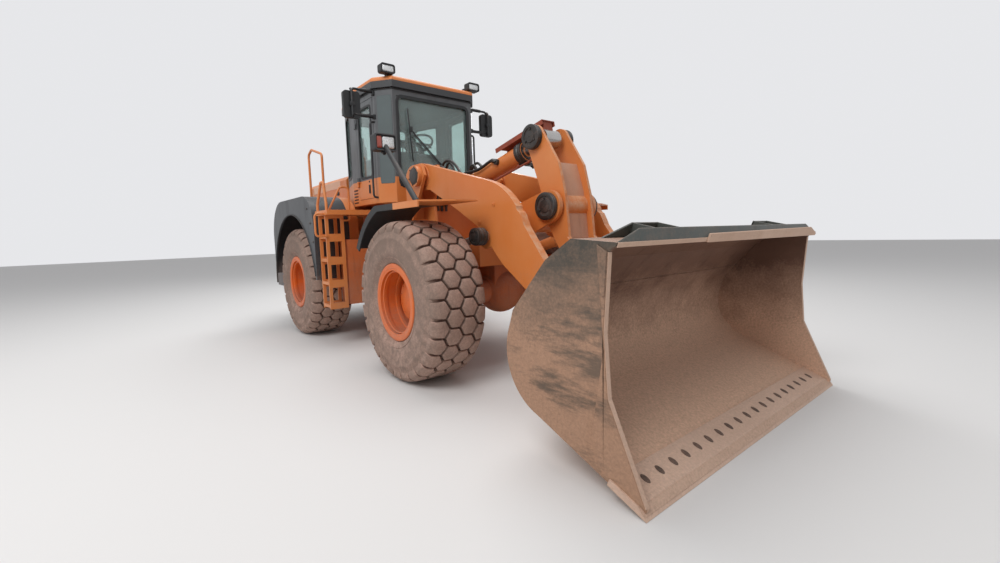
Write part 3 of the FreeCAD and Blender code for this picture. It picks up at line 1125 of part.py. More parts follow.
def bucket():
    wall = v.bucket_wall
    deep = v.edge_deep
    path = [(-deep, 0), (-850, 0), "arc", (-1150, 105), (-1270, 340), (-1278, 517), (-1125, 930),
        (-985, 1120),
            (-690, 1215)]

    def path_wire(y):
        edges = []
        here = vector(path[0][0], y, path[0][1])
        index = 1
        while index < len(path):
            if path[index] == "arc":
                middle, there = path[index + 1], path[index + 2]
                edges.append(Part.Arc(here, vector(middle[0], y, middle[1]),
                                      vector(there[0], y, there[1])).toShape())
                index += 3
            else:
                there = path[index]
                edges.append(Part.LineSegment(here, vector(there[0], y, there[1])).toShape())
                index += 1
            here = vector(there[0], y, there[1])
        return Part.Wire(edges)
    half = v.bucket_half
    inner_path = [(-deep, wall), (-850, wall), "arc", (-1133, 124), (-1246, 345), (-1253, 512),
                  (-1103, 918), (-969, 1099), (-695, 1189)]
    shell_points = path + list(reversed_outline(inner_path))
    shell = bucket_place(plate("bucket_shell_part", shell_points, -half, half))
    side_points = [(-30, 0)] + path[1:] + [(-722, 1155), (-590, 740), (-435, 427), (-30, 40)]
    pieces = [shell]
    for name, sign in SIDES:
        y0, y1 = side(half - v.bucket_side, half, sign)
        pieces.append(bucket_place(plate(f"bucket_cheek_{name}", side_points, y0, y1)))
    b = (HX + v.nose_dx, v.nose_z)
    f = (HX + v.link_far_dx, v.link_far_z)
    room = bucket_place(plate("bucket_room", inner_path + [(-300, 1300), (200, wall)], -half - 10, half + 10))
    ears = []
    for name, sign in SIDES:
        for place, low, high in (("in", v.ear_in - v.ear_thick, v.ear_in),
            ("out", v.ear_out, v.ear_out + v.ear_thick)):
            ears.append(plate(f"ear_{name}_{place}", [
                (b[0] - 40, b[1] + 97), "arc", (b[0] - 105, b[1]), (b[0] - 40, b[1] - 97),
                (b[0] + 380, b[1] - 400), (b[0] + 420, b[1] - 80), (b[0] + 340, b[1] + 320),
                (b[0] + 180, b[1] + 210)], *side(low, high, sign)))
        ears.append(plate(f"link_lug_{name}", [
            (f[0] - 62, f[1] + 58), "arc", (f[0] - 80, f[1] - 28), (f[0] - 45, f[1] - 72),
            (f[0] + 37, f[1] - 192), (f[0] + 277, f[1] - 2), (f[0] + 397, f[1] + 268),
            (f[0] + 217, f[1] + 178)],
            *side(v.lug_in, v.lug_out, sign)))
    solid = fuse("ear_solid", ears)
    trimmed = cut("ear_trim", solid, [room])
    body = fuse("bucket_solid", pieces + [trimmed])
    bore = drum("bucket_bore", *b, v.nose_pin_radius + v.pin_gap, -800, 800)
    node("bucket_shell", cut("bucket_body", body, [bore]))
    edge = plate("edge_part", [
        (0, 0), (-v.edge_nose, v.edge_thick), (-deep + 0.3, v.edge_thick), (-deep + 0.3, 0)],
        -v.edge_half, v.edge_half)
    edge = bucket_place(edge)
    slots = []
    for name, sign in SIDES:
        y0, y1 = side(half - v.bucket_side - 0.3, half + 0.3, sign)
        slots.append(bucket_place(plate(f"edge_notch_{name}", [
            (-29.7, -10), (-deep - 10, -10), (-deep - 10, 60), (-29.7, 60)], y0, y1)))
    node("cutting_edge", cut("edge_body", edge, slots))


def reversed_outline(points):
    """The same outline walked the other way, with its arcs kept."""
    steps = list(points)
    out = []
    index = len(steps) - 1
    out.append(steps[index])
    while index > 0:
        if index >= 3 and steps[index - 2] == "arc":
            out.extend(["arc", steps[index - 1], steps[index - 3]])
            index -= 3
        else:
            out.append(steps[index - 1])
            index -= 1
    return out


# Cylinders

def cylinder(prefix, base, eye, barrel_radius, rod_radius, barrel_length, eye_radius, eye_half, pin_radius,
             along_y=True):
    """Barrel and rod of one hydraulic cylinder between its base pin and its rod's eye."""
    start, end = vector(*base), vector(*eye)
    way = (end - start).normalize()
    cross = vector(0, 1, 0) if along_y else vector(0, 0, 1)

    head = Part.makeCylinder(barrel_radius * 0.55, eye_radius + 60, start, way)
    tube = Part.makeCylinder(barrel_radius, barrel_length - eye_radius - 20,
        start + way * (eye_radius + 20), way)
    gland = Part.makeCylinder(barrel_radius + 8, 70, start + way * (barrel_length - 70), way)
    solid = Part.makeCylinder(eye_radius, 2 * eye_half, start - cross * eye_half,
        cross).fuse([head, tube, gland])
    solid = solid.cut(Part.makeCylinder(pin_radius + v.pin_gap, 4 * eye_half,
        start - cross * 2 * eye_half, cross))
    bore_start = eye_radius + 70
    solid = solid.cut(Part.makeCylinder(rod_radius + v.pin_gap, barrel_length, start + way * bore_start, way))
    barrel = feature(prefix + "_barrel_solid", solid)
    return barrel, start, way, (end - start).Length


def rod_solid(name, start, way, rod_start, reach, rod_radius, eye_radius, eye_half, along_y=True):
    cross = vector(0, 1, 0) if along_y else vector(0, 0, 1)
    end = start + way * reach
    shaft = Part.makeCylinder(rod_radius, reach - rod_start - eye_radius * 0.5, start + way * rod_start, way)
    eye = Part.makeCylinder(eye_radius, 2 * eye_half, end - cross * eye_half, cross)
    return feature(name, shaft.fuse(eye))


def rod_guard(start, way, reach):
    """A channel over the rod, on a bracket that stands on the rod's eye. Made level, then turned."""
    half, wall = v.guard_half, v.guard_wall
    channel = Part.makeBox(v.guard_front - v.guard_back, 2 * half, v.guard_high - v.guard_low,
                           vector(v.guard_back, -half, v.guard_low))
    room = Part.makeBox(v.guard_front - v.guard_back + 20, 2 * (half - wall), v.guard_high - v.guard_low,
                        vector(v.guard_back - 10, wall - half, v.guard_low - wall))
    bracket = Part.makeBox(70, 120, v.guard_high - wall / 2 - 60, vector(reach - 35, -60, 60))
    eye = Part.makeCylinder(v.tilt_eye_radius - 5 + v.seat_gap, 2 * half, vector(reach, -half, 0),
        vector(0, 1, 0))
    guard = channel.cut(room).fuse(bracket.cut(eye))
    angle = -math.degrees(math.atan2(way.z, way.x))
    guard.Placement = FreeCAD.Placement(start, FreeCAD.Rotation(vector(0, 1, 0), angle))
    return feature("rod_guard_solid", guard)


def tilt_cylinder():
    base = (HX + v.tilt_dx, 0, v.tilt_z)
    eye = (HX + v.crank_top_dx, 0, v.crank_top_z)
    barrel, start, way, reach = cylinder(
        "tilt", base, eye, v.tilt_barrel_radius, v.tilt_rod_radius, v.tilt_barrel_length, v.tilt_eye_radius,
        v.tilt_lug_in - 8, v.tilt_pin_radius)
    node("tilt_barrel", barrel)
    shaft = rod_solid("tilt_rod_solid", start, way, v.tilt_rod_start, reach, v.tilt_rod_radius,
                      v.tilt_eye_radius - 5, v.link_half)
    node("tilt_rod", shaft)
    node("rod_guard", rod_guard(start, way, reach))


def lift_cylinders():
    barrels, rods = [], []
    for name, sign in SIDES:
        base = (HX + v.lift_dx, sign * v.lift_y, v.lift_z)
        eye = (HX + v.lift_eye_dx, sign * v.lift_y, v.lift_eye_z)
        barrel, start, way, reach = cylinder(
            f"lift_{name}", base, eye, v.lift_barrel_radius, v.lift_rod_radius, v.lift_barrel_length,
            v.lift_eye_radius, v.lift_eye_half, v.lift_pin_radius)
        barrels.append(barrel)
        shaft = rod_solid(f"lift_shaft_{name}", start, way, v.lift_rod_start, reach, v.lift_rod_radius,
                          v.lift_eye_radius, v.lift_eye_half)
        collar = drum(f"lift_collar_{name}", HX + v.lift_eye_dx, v.lift_eye_z, v.lift_collar_radius,
                      *side(v.arm_out + 6, v.lift_y, sign))
        rods.append(fuse(f"lift_rod_{name}", [shaft, collar]))
    node("lift_barrels", group("lift_barrel_group", barrels))
    node("lift_rods", group("lift_rod_group", rods))


def steer_cylinders():
    for name, sign in SIDES:
        base = (HX + v.steer_base_dx, sign * (v.frame_half + v.steer_base_out), v.steer_z)
        eye = (HX + v.steer_eye_dx, sign * (v.frame_half - v.steer_eye_in), v.steer_z)
        barrel, start, way, reach = cylinder(
            f"steer_{name}", base, eye, v.steer_barrel_radius, v.steer_rod_radius, v.steer_barrel_length,
            v.steer_eye_radius, v.steer_eye_half, v.steer_pin_radius, along_y=False)
        node(f"steer_barrel_{name}", barrel)
        node(f"steer_rod_{name}", rod_solid(
            f"steer_rod_solid_{name}", start, way, v.steer_rod_start, reach, v.steer_rod_radius,
            v.steer_eye_radius - 5, v.steer_eye_half, along_y=False))


axle("rear_axle", "rear_axle_dx", 200, "frame_high - 30.3")
rear_chassis()
counterweight()
drivetrain()
hood()
grille()
cab()
cab_doors()
seat()
console()
deck()
tanks()
rear_fenders()
handrails()
stacks()
lamps()
mirrors()
axle("front_axle", "front_axle_dx", 200, "box_high - 30.3")
front_chassis()
front_fenders()
headlamps()
boom()
nose_pins()
pivot_pin()
bellcrank()
link()
bucket()
tilt_cylinder()
lift_cylinders()
steer_cylinders()

doc.recompute()

for item in doc.Objects:
    if "Invalid" in item.State or "Error" in item.State:
        problems.append(f"{item.Name} ({item.Label}): {item.State}")
for item in NODES:
    shape = item.Shape
    if shape.isNull() or not shape.isValid() or not shape.Solids:
        problems.append(f"{item.Label}: no valid solid")
if problems:
    raise SystemExit("\n".join(problems))

os.makedirs("parts", exist_ok=True)
for item in NODES:
    item.Shape.exportStep(f"parts/{item.Label}.step")
    size = item.Shape.BoundBox
    print(f"{item.Label}: {len(item.Shape.Solids)} solids, "
          f"x {size.XMin:.0f} to {size.XMax:.0f}, y {size.YMin:.0f} to {size.YMax:.0f}, "
          f"z {size.ZMin:.0f} to {size.ZMax:.0f}")
print(len(NODES), "files")
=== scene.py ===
# %% [markdown]
# # A working wheel loader
# A big loading shovel that bends in the middle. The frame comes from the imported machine: every
# solid already has its size and place, so this script only adds the finish of each surface and
# the small parts that a solid leaves out.
# %% Load the machine
import json
import math
import bpy
from mathutils import Matrix, Vector


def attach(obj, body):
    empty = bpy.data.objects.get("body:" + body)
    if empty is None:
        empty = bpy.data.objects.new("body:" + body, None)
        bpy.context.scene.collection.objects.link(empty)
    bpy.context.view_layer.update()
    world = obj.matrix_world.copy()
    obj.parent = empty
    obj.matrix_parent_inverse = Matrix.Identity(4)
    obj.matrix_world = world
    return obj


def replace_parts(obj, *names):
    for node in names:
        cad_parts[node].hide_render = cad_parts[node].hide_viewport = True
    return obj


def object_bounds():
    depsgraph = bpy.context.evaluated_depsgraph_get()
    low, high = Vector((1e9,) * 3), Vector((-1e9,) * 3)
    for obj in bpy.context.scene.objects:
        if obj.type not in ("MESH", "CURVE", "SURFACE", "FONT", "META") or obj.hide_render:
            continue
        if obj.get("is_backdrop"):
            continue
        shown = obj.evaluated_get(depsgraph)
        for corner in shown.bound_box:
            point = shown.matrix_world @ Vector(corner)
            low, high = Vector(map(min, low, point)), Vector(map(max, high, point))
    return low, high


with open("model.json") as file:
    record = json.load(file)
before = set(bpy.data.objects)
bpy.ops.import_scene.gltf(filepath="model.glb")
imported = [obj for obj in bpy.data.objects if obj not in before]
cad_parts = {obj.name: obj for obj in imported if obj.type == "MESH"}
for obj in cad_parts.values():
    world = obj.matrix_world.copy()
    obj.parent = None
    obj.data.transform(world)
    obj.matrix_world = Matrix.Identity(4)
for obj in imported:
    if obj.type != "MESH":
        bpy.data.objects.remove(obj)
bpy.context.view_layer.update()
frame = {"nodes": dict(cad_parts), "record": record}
nodes = frame["nodes"]
SIDES = (("left", 1), ("right", -1))
HINGE_X, HALF_BASE, HALF_TRACK, AXLE_Z = -0.5, 1.6, 1.075, 0.8

# %% [markdown]
# ## The camera
# The picture was taken close to the bucket with a wide lens, a little above the ground. The
# place, heading, pitch and roll were found by matching the wheels and the bucket's edge.
# The three directions of the camera are worked out and put in its matrix as columns.
# %% Place the camera
CAMERA_AT = Vector((5.205, -3.362, 1.449))
HEADING, PITCH, ROLL = (math.radians(a) for a in (140.63, -6.04, -1.63))
FOCAL_PIXELS, PICTURE_WIDTH = 457.9, 1000

ahead = Vector((math.cos(HEADING) * math.cos(PITCH), math.sin(HEADING) * math.cos(PITCH),
                math.sin(PITCH)))
right = Vector((math.sin(HEADING), -math.cos(HEADING), 0))
above = right.cross(ahead)
side_way = math.cos(ROLL) * right + math.sin(ROLL) * above
up_way = math.cos(ROLL) * above - math.sin(ROLL) * right
bpy.ops.object.camera_add(location=CAMERA_AT)
camera = bpy.context.object
camera.name = "photo_camera"
columns = Matrix((side_way, up_way, -ahead)).transposed()
camera.matrix_world = Matrix.Translation(CAMERA_AT) @ columns.to_4x4()
camera.data.lens = FOCAL_PIXELS / PICTURE_WIDTH * camera.data.sensor_width
camera.data.clip_end = 200
bpy.context.scene.camera = camera
print("lens", round(camera.data.lens, 2), "mm")

# %% [markdown]
# ## Helpers for shaping
# Every new piece starts as a primitive, is shaped by edit-mode operators and ends with its
# place in its mesh. Only what is selected is changed, so each helper first clears the selection.
# %% Selecting and placing
def pick(*objects):
    if bpy.context.mode != "OBJECT":
        bpy.ops.object.mode_set(mode="OBJECT")
    bpy.ops.object.select_all(action="DESELECT")
    for item in objects:
        item.select_set(True)
    if objects:
        bpy.context.view_layer.objects.active = objects[0]


def settle(item):
    """Puts the object's place, turn and scale into its mesh."""
    pick(item)
    bpy.ops.object.transform_apply(location=True, rotation=True, scale=True)
    return item


def editing(item):
    pick(item)
    bpy.ops.object.mode_set(mode="EDIT")
    bpy.ops.mesh.select_all(action="SELECT")


def done_editing():
    bpy.ops.object.mode_set(mode="OBJECT")


def outward(item):
    """Turns every face of a closed piece outward."""
    editing(item)
    bpy.ops.mesh.normals_make_consistent(inside=False)
    done_editing()
    return item


# %% Edges, rows and joins
def soften(item, width, segments=1, angle=30):
    """Rounds the edges sharper than an angle."""
    pick(item)
    step = item.modifiers.new("edges", "BEVEL")
    step.width, step.segments, step.limit_method = width, segments, "ANGLE"
    step.angle_limit = math.radians(angle)
    bpy.ops.object.modifier_apply(modifier=step.name)
    return item


def arrayed(item, *rows):
    """Copies an item along one or more directions: (count, step) for each."""
    for count, step in rows:
        pick(item)
        copies = item.modifiers.new("row", "ARRAY")
        copies.count, copies.use_relative_offset, copies.use_constant_offset = count, False, True
        copies.constant_offset_displace = step
        bpy.ops.object.modifier_apply(modifier=copies.name)
    return item


def joined(name, items):
    pick(*items)
    if len(items) > 1:
        bpy.ops.object.join()
    item = bpy.context.object
    item.name = name
    return item


# %% Blocks and round bars
def block(name, low, high, edge=0, segments=2):
    """A box between two corners given in any order, with softened edges."""
    pick()
    middle = [(a + b) / 2 for a, b in zip(low, high)]
    size = [abs(b - a) for a, b in zip(low, high)]
    bpy.ops.mesh.primitive_cube_add(size=1, location=middle, scale=size)
    item = bpy.context.object
    item.name = name
    settle(item)
    return soften(item, edge, segments) if edge else item


def bar(name, start, end, radius, sides=24, edge=0, segments=1, radius_end=None):
    """A round bar or a bolt's head between two points; its ends may differ in radius."""
    pick()
    start, end = Vector(start), Vector(end)
    way = end - start
    turn = way.to_track_quat("Z", "Y").to_euler()
    bpy.ops.mesh.primitive_cone_add(vertices=sides, radius1=radius, radius2=radius_end or radius,
                                    depth=way.length, location=(start + end) / 2, rotation=turn)
    item = bpy.context.object
    item.name = name
    settle(item)
    return soften(item, edge, segments) if edge else item


# %% Outlines that are pushed or spun
def outline(name, corners):
    """A filled ring of corners, moved to where the outline goes."""
    pick()
    bpy.ops.mesh.primitive_circle_add(vertices=len(corners), radius=1, fill_type="NGON")
    item = bpy.context.object
    item.name = name
    for vertex, corner in zip(item.data.vertices, corners):
        vertex.co = Vector(corner) - item.location
    return settle(item)


def pushed(item, push, edge, segments):
    """Gives a flat shape its thickness and softens its edges."""
    bpy.ops.mesh.select_all(action="SELECT")
    bpy.ops.mesh.extrude_region_move(TRANSFORM_OT_translate={"value": push})
    outward(item)
    return soften(item, edge, segments) if edge else item


def plate(name, corners, push, edge=0, segments=1):
    """A flat outline pushed out to a thick plate."""
    item = outline(name, corners)
    editing(item)
    return pushed(item, push, edge, segments)


def flat_ring(name, corners, width, push, edge=0, segments=1):
    """A frame of even width along a flat outline."""
    item = outline(name, corners)
    editing(item)
    bpy.ops.mesh.inset(thickness=width)
    bpy.ops.mesh.delete(type="FACE")
    return pushed(item, push, edge, segments)


def spun(name, profile, centre, sign=1, steps=72):
    """A closed profile of radius and place along y, spun once round a line across the machine."""
    cx, cy, cz = centre
    item = outline(name, [(cx + r, cy + sign * y, cz) for r, y in profile])
    editing(item)
    bpy.ops.mesh.delete(type="ONLY_FACE")
    bpy.ops.mesh.select_all(action="SELECT")
    bpy.ops.mesh.spin(steps=steps, angle=2 * math.pi, center=centre, axis=(0, 1, 0))
    bpy.ops.mesh.select_all(action="SELECT")
    bpy.ops.mesh.remove_doubles(threshold=0.0001)
    return outward(item)


# %% Points for outlines and bolt circles
def round_corners(a0, a1, b0, b1, radius, steps=5):
    """A rectangle's outline as pairs, with an arc at each corner."""
    a0, a1 = sorted((a0, a1))
    points = []
    centres = ((a1 - radius, b1 - radius, 0), (a0 + radius, b1 - radius, 90),
               (a0 + radius, b0 + radius, 180), (a1 - radius, b0 + radius, 270))
    for ca, cb, start in centres:
        for number in range(steps + 1):
            angle = math.radians(start + 90 * number / steps)
            points.append((ca + radius * math.cos(angle), cb + radius * math.sin(angle)))
    return points


def facing_x(pairs, x):
    return [(x, a, b) for a, b in pairs]


def facing_y(pairs, y):
    return [(a, y, b) for a, b in pairs]


def on_side(points, sign):
    """The same points on the left (1) or the right (-1) of the machine."""
    return [(x, sign * y, z) for x, y, z in points]


def circle_of(count, radius, first=0):
    """Pairs evenly round a circle; the first lies at an angle in degrees."""
    angles = [math.radians(first + 360 * number / count) for number in range(count)]
    return [(radius * math.cos(angle), radius * math.sin(angle)) for angle in angles]


# %% Tubes and hoses
def rounded(points, bend, steps=6):
    """The points of a bent path: straight runs joined by arcs of the bend radius."""
    made = [points[0]]
    for before, corner, after in zip(points, points[1:], points[2:]):
        into, out = (corner - before).normalized(), (after - corner).normalized()
        reach = bend * math.tan(into.angle(out) / 2)
        start, end = corner - into * reach, corner + out * reach
        for number in range(steps + 1):
            share = number / steps
            made.append(start.lerp(corner, share).lerp(corner.lerp(end, share), share))
    made.append(points[-1])
    return made


def tube(name, points, radius, bend=None, rings=3):
    """A round tube. With a bend it is a bent steel tube, without one a smooth hose."""
    pick()
    bpy.ops.curve.primitive_nurbs_path_add()
    item = bpy.context.object
    item.name = name
    item.location = (0, 0, 0)
    item.data.splines.clear()
    points = [Vector(p) for p in points]
    path = rounded(points, bend) if bend else points
    spline = item.data.splines.new("POLY" if bend else "NURBS")
    spline.points.add(len(path) - 1)
    for place, point in zip(spline.points, path):
        place.co = (*point, 1)
    if not bend:
        spline.order_u = 4
        spline.use_endpoint_u = True
        spline.resolution_u = 6
    item.data.bevel_depth = radius
    item.data.bevel_resolution = rings
    item.data.use_fill_caps = True
    pick(item)
    bpy.ops.object.convert(target="MESH")
    return settle(bpy.context.object)


# %% Handing a piece over
def fit(name, body, material, *items, smooth=35):
    """Joins the parts of a piece, gives it its finish and lets it ride on a body."""
    item = joined(name, items)
    pick(item)
    bpy.ops.object.shade_smooth_by_angle(angle=math.radians(smooth))
    item.data.materials.clear()
    item.data.materials.append(material)
    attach(item, body)
    print(f"{item.name}: {len(item.data.polygons)} faces on {body}")
    return item


# %% [markdown]
# ## Helpers for finishes
# A shader is a tree of nodes. One helper adds a node with its settings and wires, so that a
# material reads as a list. Effects that several finishes share are node groups.
# %% Nodes in one line
def add(tree, kind, wires=None, **settings):
    node = tree.nodes.new("ShaderNode" + kind)
    for key, value in settings.items():
        setattr(node, key, value)
    for key, value in (wires or {}).items():
        if isinstance(value, bpy.types.NodeSocket):
            tree.links.new(value, node.inputs[key])
        else:
            node.inputs[key].default_value = value
    return node


def rgba(colour, share=1.0):
    """A colour with its alpha, darkened by a share."""
    return tuple(c * share for c in colour[:3]) + (1,)


def blend(tree, factor, first, second):
    """A mix of two colours."""
    return add(tree, "Mix", {0: factor, 6: first, 7: second}, data_type="RGBA").outputs[2]


def math_of(tree, how, first, second=0.0, third=0.0, clamp=False):
    return add(tree, "Math", {0: first, 1: second, 2: third}, operation=how, use_clamp=clamp).outputs[0]


def ramp(tree, value, low, high, start=0.0, end=1.0):
    """Rises from start to end while the value goes from low to high."""
    return add(tree, "MapRange", {0: value, 1: low, 2: high, 3: start, 4: end}).outputs[0]


def noise(tree, place, scale, detail, rough=0.5):
    wires = {"Vector": place, "Scale": scale, "Detail": detail, "Roughness": rough}
    return add(tree, "TexNoise", wires).outputs[0]


def object_place(tree):
    return add(tree, "TexCoord").outputs["Object"]


def surface_normal(tree):
    return add(tree, "NewGeometry").outputs["Normal"]


def axis_of(tree, vector, axis):
    """One of a vector's three numbers."""
    return add(tree, "SeparateXYZ", {0: vector}).outputs[axis]


def bump_of(tree, height, strength, distance):
    wires = {"Height": height, "Strength": strength, "Distance": distance}
    return add(tree, "Bump", wires).outputs[0]


# %% Groups and materials
def group(name, inputs, outputs):
    """An empty node group with named sockets."""
    tree = bpy.data.node_groups.new(name, "ShaderNodeTree")
    for label, kind, value in inputs:
        socket = tree.interface.new_socket(label, in_out="INPUT", socket_type="NodeSocket" + kind)
        socket.default_value = value
    for label, kind in outputs:
        tree.interface.new_socket(label, in_out="OUTPUT", socket_type="NodeSocket" + kind)
    start, end = tree.nodes.new("NodeGroupInput"), tree.nodes.new("NodeGroupOutput")
    return tree, start.outputs, end.inputs


def new_finish(name, base=None):
    """A new material or a copy of another, with its tree and its shader's sockets."""
    material = base.copy() if base else bpy.data.materials.new(name)
    material.name = name
    material.use_nodes = True
    tree = material.node_tree
    return material, tree, tree.nodes["Principled BSDF"].inputs


def cover(tree, sockets, mask, colour):
    """Lays a colour over the base colour where the mask is white."""
    was = sockets["Base Color"].links[0].from_socket
    tree.links.new(blend(tree, mask, was, colour), sockets["Base Color"])


# %% [markdown]
# ### Dust
# Quarry dust lies thickest near the ground and on faces that look up, and it breaks up in
# patches. The mask is a slope over height and a share of the upward normal, both broken by noise.
# %% The dust group
dust_tree, given, out = group("dust", [
    ("Floor", "Float", 0.2), ("Top", "Float", 1.6), ("Amount", "Float", 0.5), ("On top", "Float", 0.3),
    ("Scale", "Float", 2.0)], [("Mask", "Float"), ("Grain", "Float")])
place = object_place(dust_tree)
patches = noise(dust_tree, place, given["Scale"], 8.0, 0.62)
grain = noise(dust_tree, place, 55.0, 4.0, 0.7)
slope = ramp(dust_tree, axis_of(dust_tree, place, "Z"), given["Top"], given["Floor"])
facing_up = math_of(dust_tree, "MAXIMUM", axis_of(dust_tree, surface_normal(dust_tree), "Z"), 0.0)
lying = math_of(dust_tree, "MULTIPLY", facing_up, given["On top"])
level = math_of(dust_tree, "ADD", math_of(dust_tree, "MULTIPLY", slope, given["Amount"]), lying)
broken = math_of(dust_tree, "ADD", level, math_of(dust_tree, "MULTIPLY_ADD", patches, 1.1, -0.62))
mottled = math_of(dust_tree, "ADD", broken, math_of(dust_tree, "MULTIPLY_ADD", grain, 0.5, -0.25))
dusty = math_of(dust_tree, "GREATER_THAN", level, 0.001)
dust_tree.links.new(math_of(dust_tree, "MULTIPLY", dusty, mottled, clamp=True), out["Mask"])
dust_tree.links.new(ramp(dust_tree, grain, 0.32, 0.68), out["Grain"])

# %% [markdown]
# ### Weathered paint
# Sun bleaches paint in broad clouds, rain leaves runs down the sides, and stones leave dark
# specks. One group mixes these over any colour and gives a height for the bump.
# %% The weather group
weather_tree, given, out = group("weather", [
    ("Paint", "Color", (0.7, 0.2, 0.04, 1)), ("Faded", "Color", (0.75, 0.3, 0.12, 1)),
    ("Grime", "Color", (0.08, 0.05, 0.035, 1)), ("Fading", "Float", 0.5), ("Runs", "Float", 0.4),
    ("Specks", "Float", 0.3)], [("Color", "Color"), ("Wear", "Float"), ("Height", "Float")])
place = object_place(weather_tree)
clouds = ramp(weather_tree, noise(weather_tree, place, 1.3, 6.0, 0.6), 0.35, 0.68)
stretched = add(weather_tree, "Mapping", {"Vector": place, "Scale": (5.0, 5.0, 0.8)}).outputs[0]
runs = ramp(weather_tree, noise(weather_tree, stretched, 1.6, 5.0, 0.6), 0.54, 0.8)
chips = ramp(weather_tree, noise(weather_tree, place, 26.0, 5.0, 0.75), 0.64, 0.72)
fine = noise(weather_tree, place, 140.0, 2.0)
fading = math_of(weather_tree, "MULTIPLY", clouds, given["Fading"])
speck = math_of(weather_tree, "MULTIPLY", chips, given["Specks"])
colour = blend(weather_tree, fading, given["Paint"], given["Faded"])
for mask in (math_of(weather_tree, "MULTIPLY", runs, given["Runs"]), speck):
    colour = blend(weather_tree, mask, colour, given["Grime"])
weather_tree.links.new(colour, out["Color"])
weather_tree.links.new(math_of(weather_tree, "MAXIMUM", runs, speck), out["Wear"])
weather_tree.links.new(math_of(weather_tree, "MULTIPLY_ADD", fine, 0.35, speck), out["Height"])


# %% [markdown]
# ### A painted or bare surface
# Paint, iron and rubber on this machine differ in colours and amounts only, so one recipe makes
# them all: weather over the base colour, dust over that, and a bump from both.
# %% The surface recipe
def weathered(tree, paint, faded, grime, fading=0.5, runs=0.4, specks=0.3):
    values = {"Paint": rgba(paint), "Faded": rgba(faded), "Grime": rgba(grime), "Fading": fading,
              "Runs": runs, "Specks": specks}
    return add(tree, "Group", values, node_tree=weather_tree).outputs


def dusted(tree, floor, top, amount, on_top, scale):
    values = {"Floor": floor, "Top": top, "Amount": amount, "On top": on_top, "Scale": scale}
    return add(tree, "Group", values, node_tree=dust_tree).outputs


finishes = {}
DUST = (0.33, 0.205, 0.155)


def surface(name, paint, faded, grime, fading=0.5, runs=0.3, specks=0.3, rough=0.5, metal=0.0, dust=0.5,
            on_top=0.3, top=1.6, scale=2.0, dust_colour=DUST, bump=0.25, coat=0.0):
    material, tree, sockets = new_finish(name)
    worn = weathered(tree, paint, faded, grime, fading, runs, specks)
    dusty = dusted(tree, 0.0, top, dust, on_top, scale)
    mask = dusty["Mask"]
    soil = blend(tree, dusty["Grain"], rgba(dust_colour, 0.7), rgba(dust_colour))
    tree.links.new(blend(tree, mask, worn["Color"], soil), sockets["Base Color"])
    worn_rough = math_of(tree, "MULTIPLY_ADD", worn["Wear"], 0.2, rough)
    tree.links.new(math_of(tree, "MULTIPLY_ADD", mask, 0.35, worn_rough, clamp=True), sockets["Roughness"])
    if metal:
        bare = math_of(tree, "SUBTRACT", 1.0, mask, clamp=True)
        tree.links.new(math_of(tree, "MULTIPLY", bare, metal), sockets["Metallic"])
    sockets["Coat Weight"].default_value = coat
    sockets["Coat Roughness"].default_value = 0.25
    relief = math_of(tree, "MULTIPLY_ADD", dusty["Grain"], mask, worn["Height"])
    tree.links.new(bump_of(tree, relief, bump, 0.004), sockets["Normal"])
    finishes[name] = material
    return material


# %% [markdown]
# ### The machine's finishes
# Orange paint that has gone pale, brighter rims and dirtier frames, dark iron and plastic, dusty
# rubber, bare steel in the bucket and on its edge, and chrome on the rods.
# %% Finishes of paint, iron and rubber
BROWN_GRIME = (0.10, 0.045, 0.03)
orange_paint = surface("orange_paint", (0.66, 0.19, 0.038), (0.70, 0.27, 0.095), (0.25, 0.09, 0.035),
                       fading=0.7, runs=0.05, specks=0.15, rough=0.42, dust=0.35, on_top=0.18, top=1.3,
                       coat=0.1)
rim_paint = surface("rim_paint", (0.72, 0.135, 0.018), (0.75, 0.2, 0.045), (0.2, 0.06, 0.03), runs=0.1,
                    rough=0.4, dust=0.38, on_top=0.45, top=1.3, scale=5.0, coat=0.1)
surface("frame_paint", (0.52, 0.115, 0.024), (0.60, 0.2, 0.07), BROWN_GRIME, runs=0.6, specks=0.6,
        rough=0.6, dust=0.6, on_top=0.5, top=1.5, scale=3.0, bump=0.5)
pillar_paint = surface("pillar_paint", (0.05, 0.054, 0.057), (0.10, 0.105, 0.11), (0.03, 0.03, 0.03),
                       runs=0.1, specks=0.1, rough=0.42, dust=0.0, on_top=0.1)
surface("weight_iron", (0.10, 0.10, 0.105), (0.18, 0.17, 0.165), BROWN_GRIME, fading=0.6, runs=0.4,
        specks=0.5, rough=0.55, dust=0.55, on_top=0.45, top=1.5, bump=0.6)
tyre_rubber = surface("tyre_rubber", (0.17, 0.118, 0.092), (0.27, 0.185, 0.145), (0.06, 0.045, 0.036),
                      fading=0.8, runs=0.1, specks=0.6, rough=0.85, dust=0.72, on_top=0.5, top=2.2,
                      scale=4.5, dust_colour=(0.62, 0.41, 0.33), bump=0.6)
bucket_steel = surface("bucket_steel", (0.15, 0.078, 0.052), (0.24, 0.135, 0.093), (0.06, 0.04, 0.032),
                       fading=0.8, runs=0.25, specks=0.4, rough=0.55, metal=0.15, dust=1.8, on_top=0.25,
                       top=1.17, scale=3.4, dust_colour=(0.78, 0.505, 0.355), bump=0.7)
surface("edge_steel", (0.58, 0.40, 0.30), (0.68, 0.49, 0.38), (0.14, 0.09, 0.07), fading=0.8, runs=0.1,
        specks=0.5, rough=0.45, metal=0.45, top=0.6, dust_colour=(0.74, 0.51, 0.385), bump=0.6)
